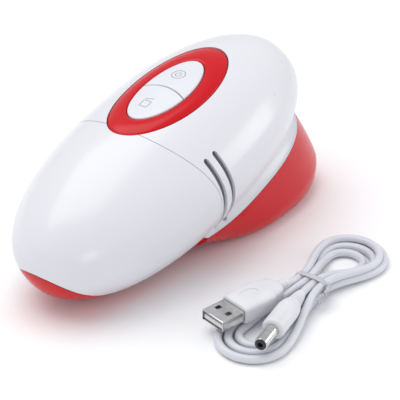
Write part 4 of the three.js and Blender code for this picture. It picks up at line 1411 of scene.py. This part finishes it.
# %% Charging socket
def charging_socket():
    socket = block("socket_fine", (66, -4.5, -6.5), (74, 4.5, 2.5), 0.4)
    sleeve = turned_along_x("sleeve", [(0.01, 73), (3.8, 73), (3.8, 79.2), (3.55, 79.5), (0.01, 79.5)], 72)
    bore = turned_along_x("bore", [(ON_AXIS, 68), (2.85, 68), (2.85, 79.2), (3.1, 90), (ON_AXIS, 90)], 72)
    pin = turned_along_x("pin", [(0.01, 67), (0.6, 67), (0.6, 77.7), (0.3, 78), (0.01, 78)], 32)
    for tool in (sleeve, bore, pin):
        tool.data.transform(Matrix.Translation((0, 0, -2)))
    weld(socket, sleeve)
    carve(socket, bore)
    weld(socket, pin)
    return settle(dress(soften(socket), DARK_MOULDING), EGG_PLACE, "housing", "dark_plastic", "dc_jack")


socket = charging_socket()
print("socket faces:", len(socket.data.polygons))

# %% [markdown]
# ## The solids that stay
# The motor, the gears, the board, the cell and their leads are inside and look right as they are,
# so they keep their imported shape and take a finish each.

# %% Dress the solids that stay
FINISH_OF_SLOT = {
    "white_body": SHELL_WHITE, "white_keys": KEY_WHITE, "red_trim": CASING_RED, "dark_plastic": DARK_MOULDING,
    "gear_nylon": GEAR_NYLON, "steel": TURNED_STEEL, "bright_plating": BRIGHT_PLATING, "brass": GEAR_BRASS,
    "circuit_board": BOARD_GREEN, "cell_wrap": CELL_BLUE, "wire_sleeve": SLEEVE_RED,
    "cord_jacket": JACKET_WHITE, "cord_fittings": PLUG_WHITE,
}
BLACK_LEADS = ("battery_lead_right", "jack_lead_right")
for name, node in frame["nodes"].items():
    dress(node, SLEEVE_BLACK if name in BLACK_LEADS else FINISH_OF_SLOT[SLOT_OF[name]])
print("dressed:", len(frame["nodes"]))

# %% [markdown]
# ## Floor and light
# White goods are shown on white: a pale floor that runs out of sight, a wide soft light overhead
# and a weaker one from the side, so that the flank falls gently into a cool grey.

# %% Studio
FLOOR_DROP, FLOOR_REACH = 0.0003, 15


def studio(brightness):
    mesh = bpy.data.meshes.new("floor")
    r = FLOOR_REACH
    mesh.from_pydata([(-r, -r, 0), (r, -r, 0), (r, r, 0), (-r, r, 0)], [], [(0, 1, 2, 3)])
    floor = bpy.data.objects.new("floor", mesh)
    bpy.context.scene.collection.objects.link(floor)
    floor.location.z = -FLOOR_DROP
    paint = bpy.data.materials.new("floor_paint")
    paint.use_nodes = True
    shader = paint.node_tree.nodes["Principled BSDF"]
    shader.inputs["Base Color"].default_value = (0.92, 0.92, 0.93, 1)
    shader.inputs["Roughness"].default_value = 0.9
    mesh.materials.append(paint)
    world = bpy.data.worlds.new("studio")
    world.use_nodes = True
    sky = world.node_tree.nodes["Background"]
    sky.inputs["Color"].default_value = (0.97, 0.98, 1, 1)
    sky.inputs["Strength"].default_value = brightness
    bpy.context.scene.world = world


def soft_light(name, place, aim, size, power):
    data = bpy.data.lights.new(name, "AREA")
    data.shape = "RECTANGLE"
    data.size, data.size_y = size
    data.energy = power
    light = bpy.data.objects.new(name, data)
    light.location = place
    light.rotation_mode = "QUATERNION"
    light.rotation_quaternion = (Vector(aim) - Vector(place)).to_track_quat("-Z", "Y")
    bpy.context.scene.collection.objects.link(light)


studio(0.66)
soft_light("overhead", (-0.1, 0.3, 1.0), (0, 0, 0), (1.0, 1.0), 7)
soft_light("near", (0.75, -0.75, 0.35), (0.03, 0, 0.02), (0.45, 0.45), 2.2)
soft_light("nose", (-0.75, -0.75, 0.3), (-0.05, 0, 0.03), (0.25, 0.25), 0.8)
bpy.context.scene.view_settings.view_transform = "Standard"
print("lights:", len(bpy.data.lights))
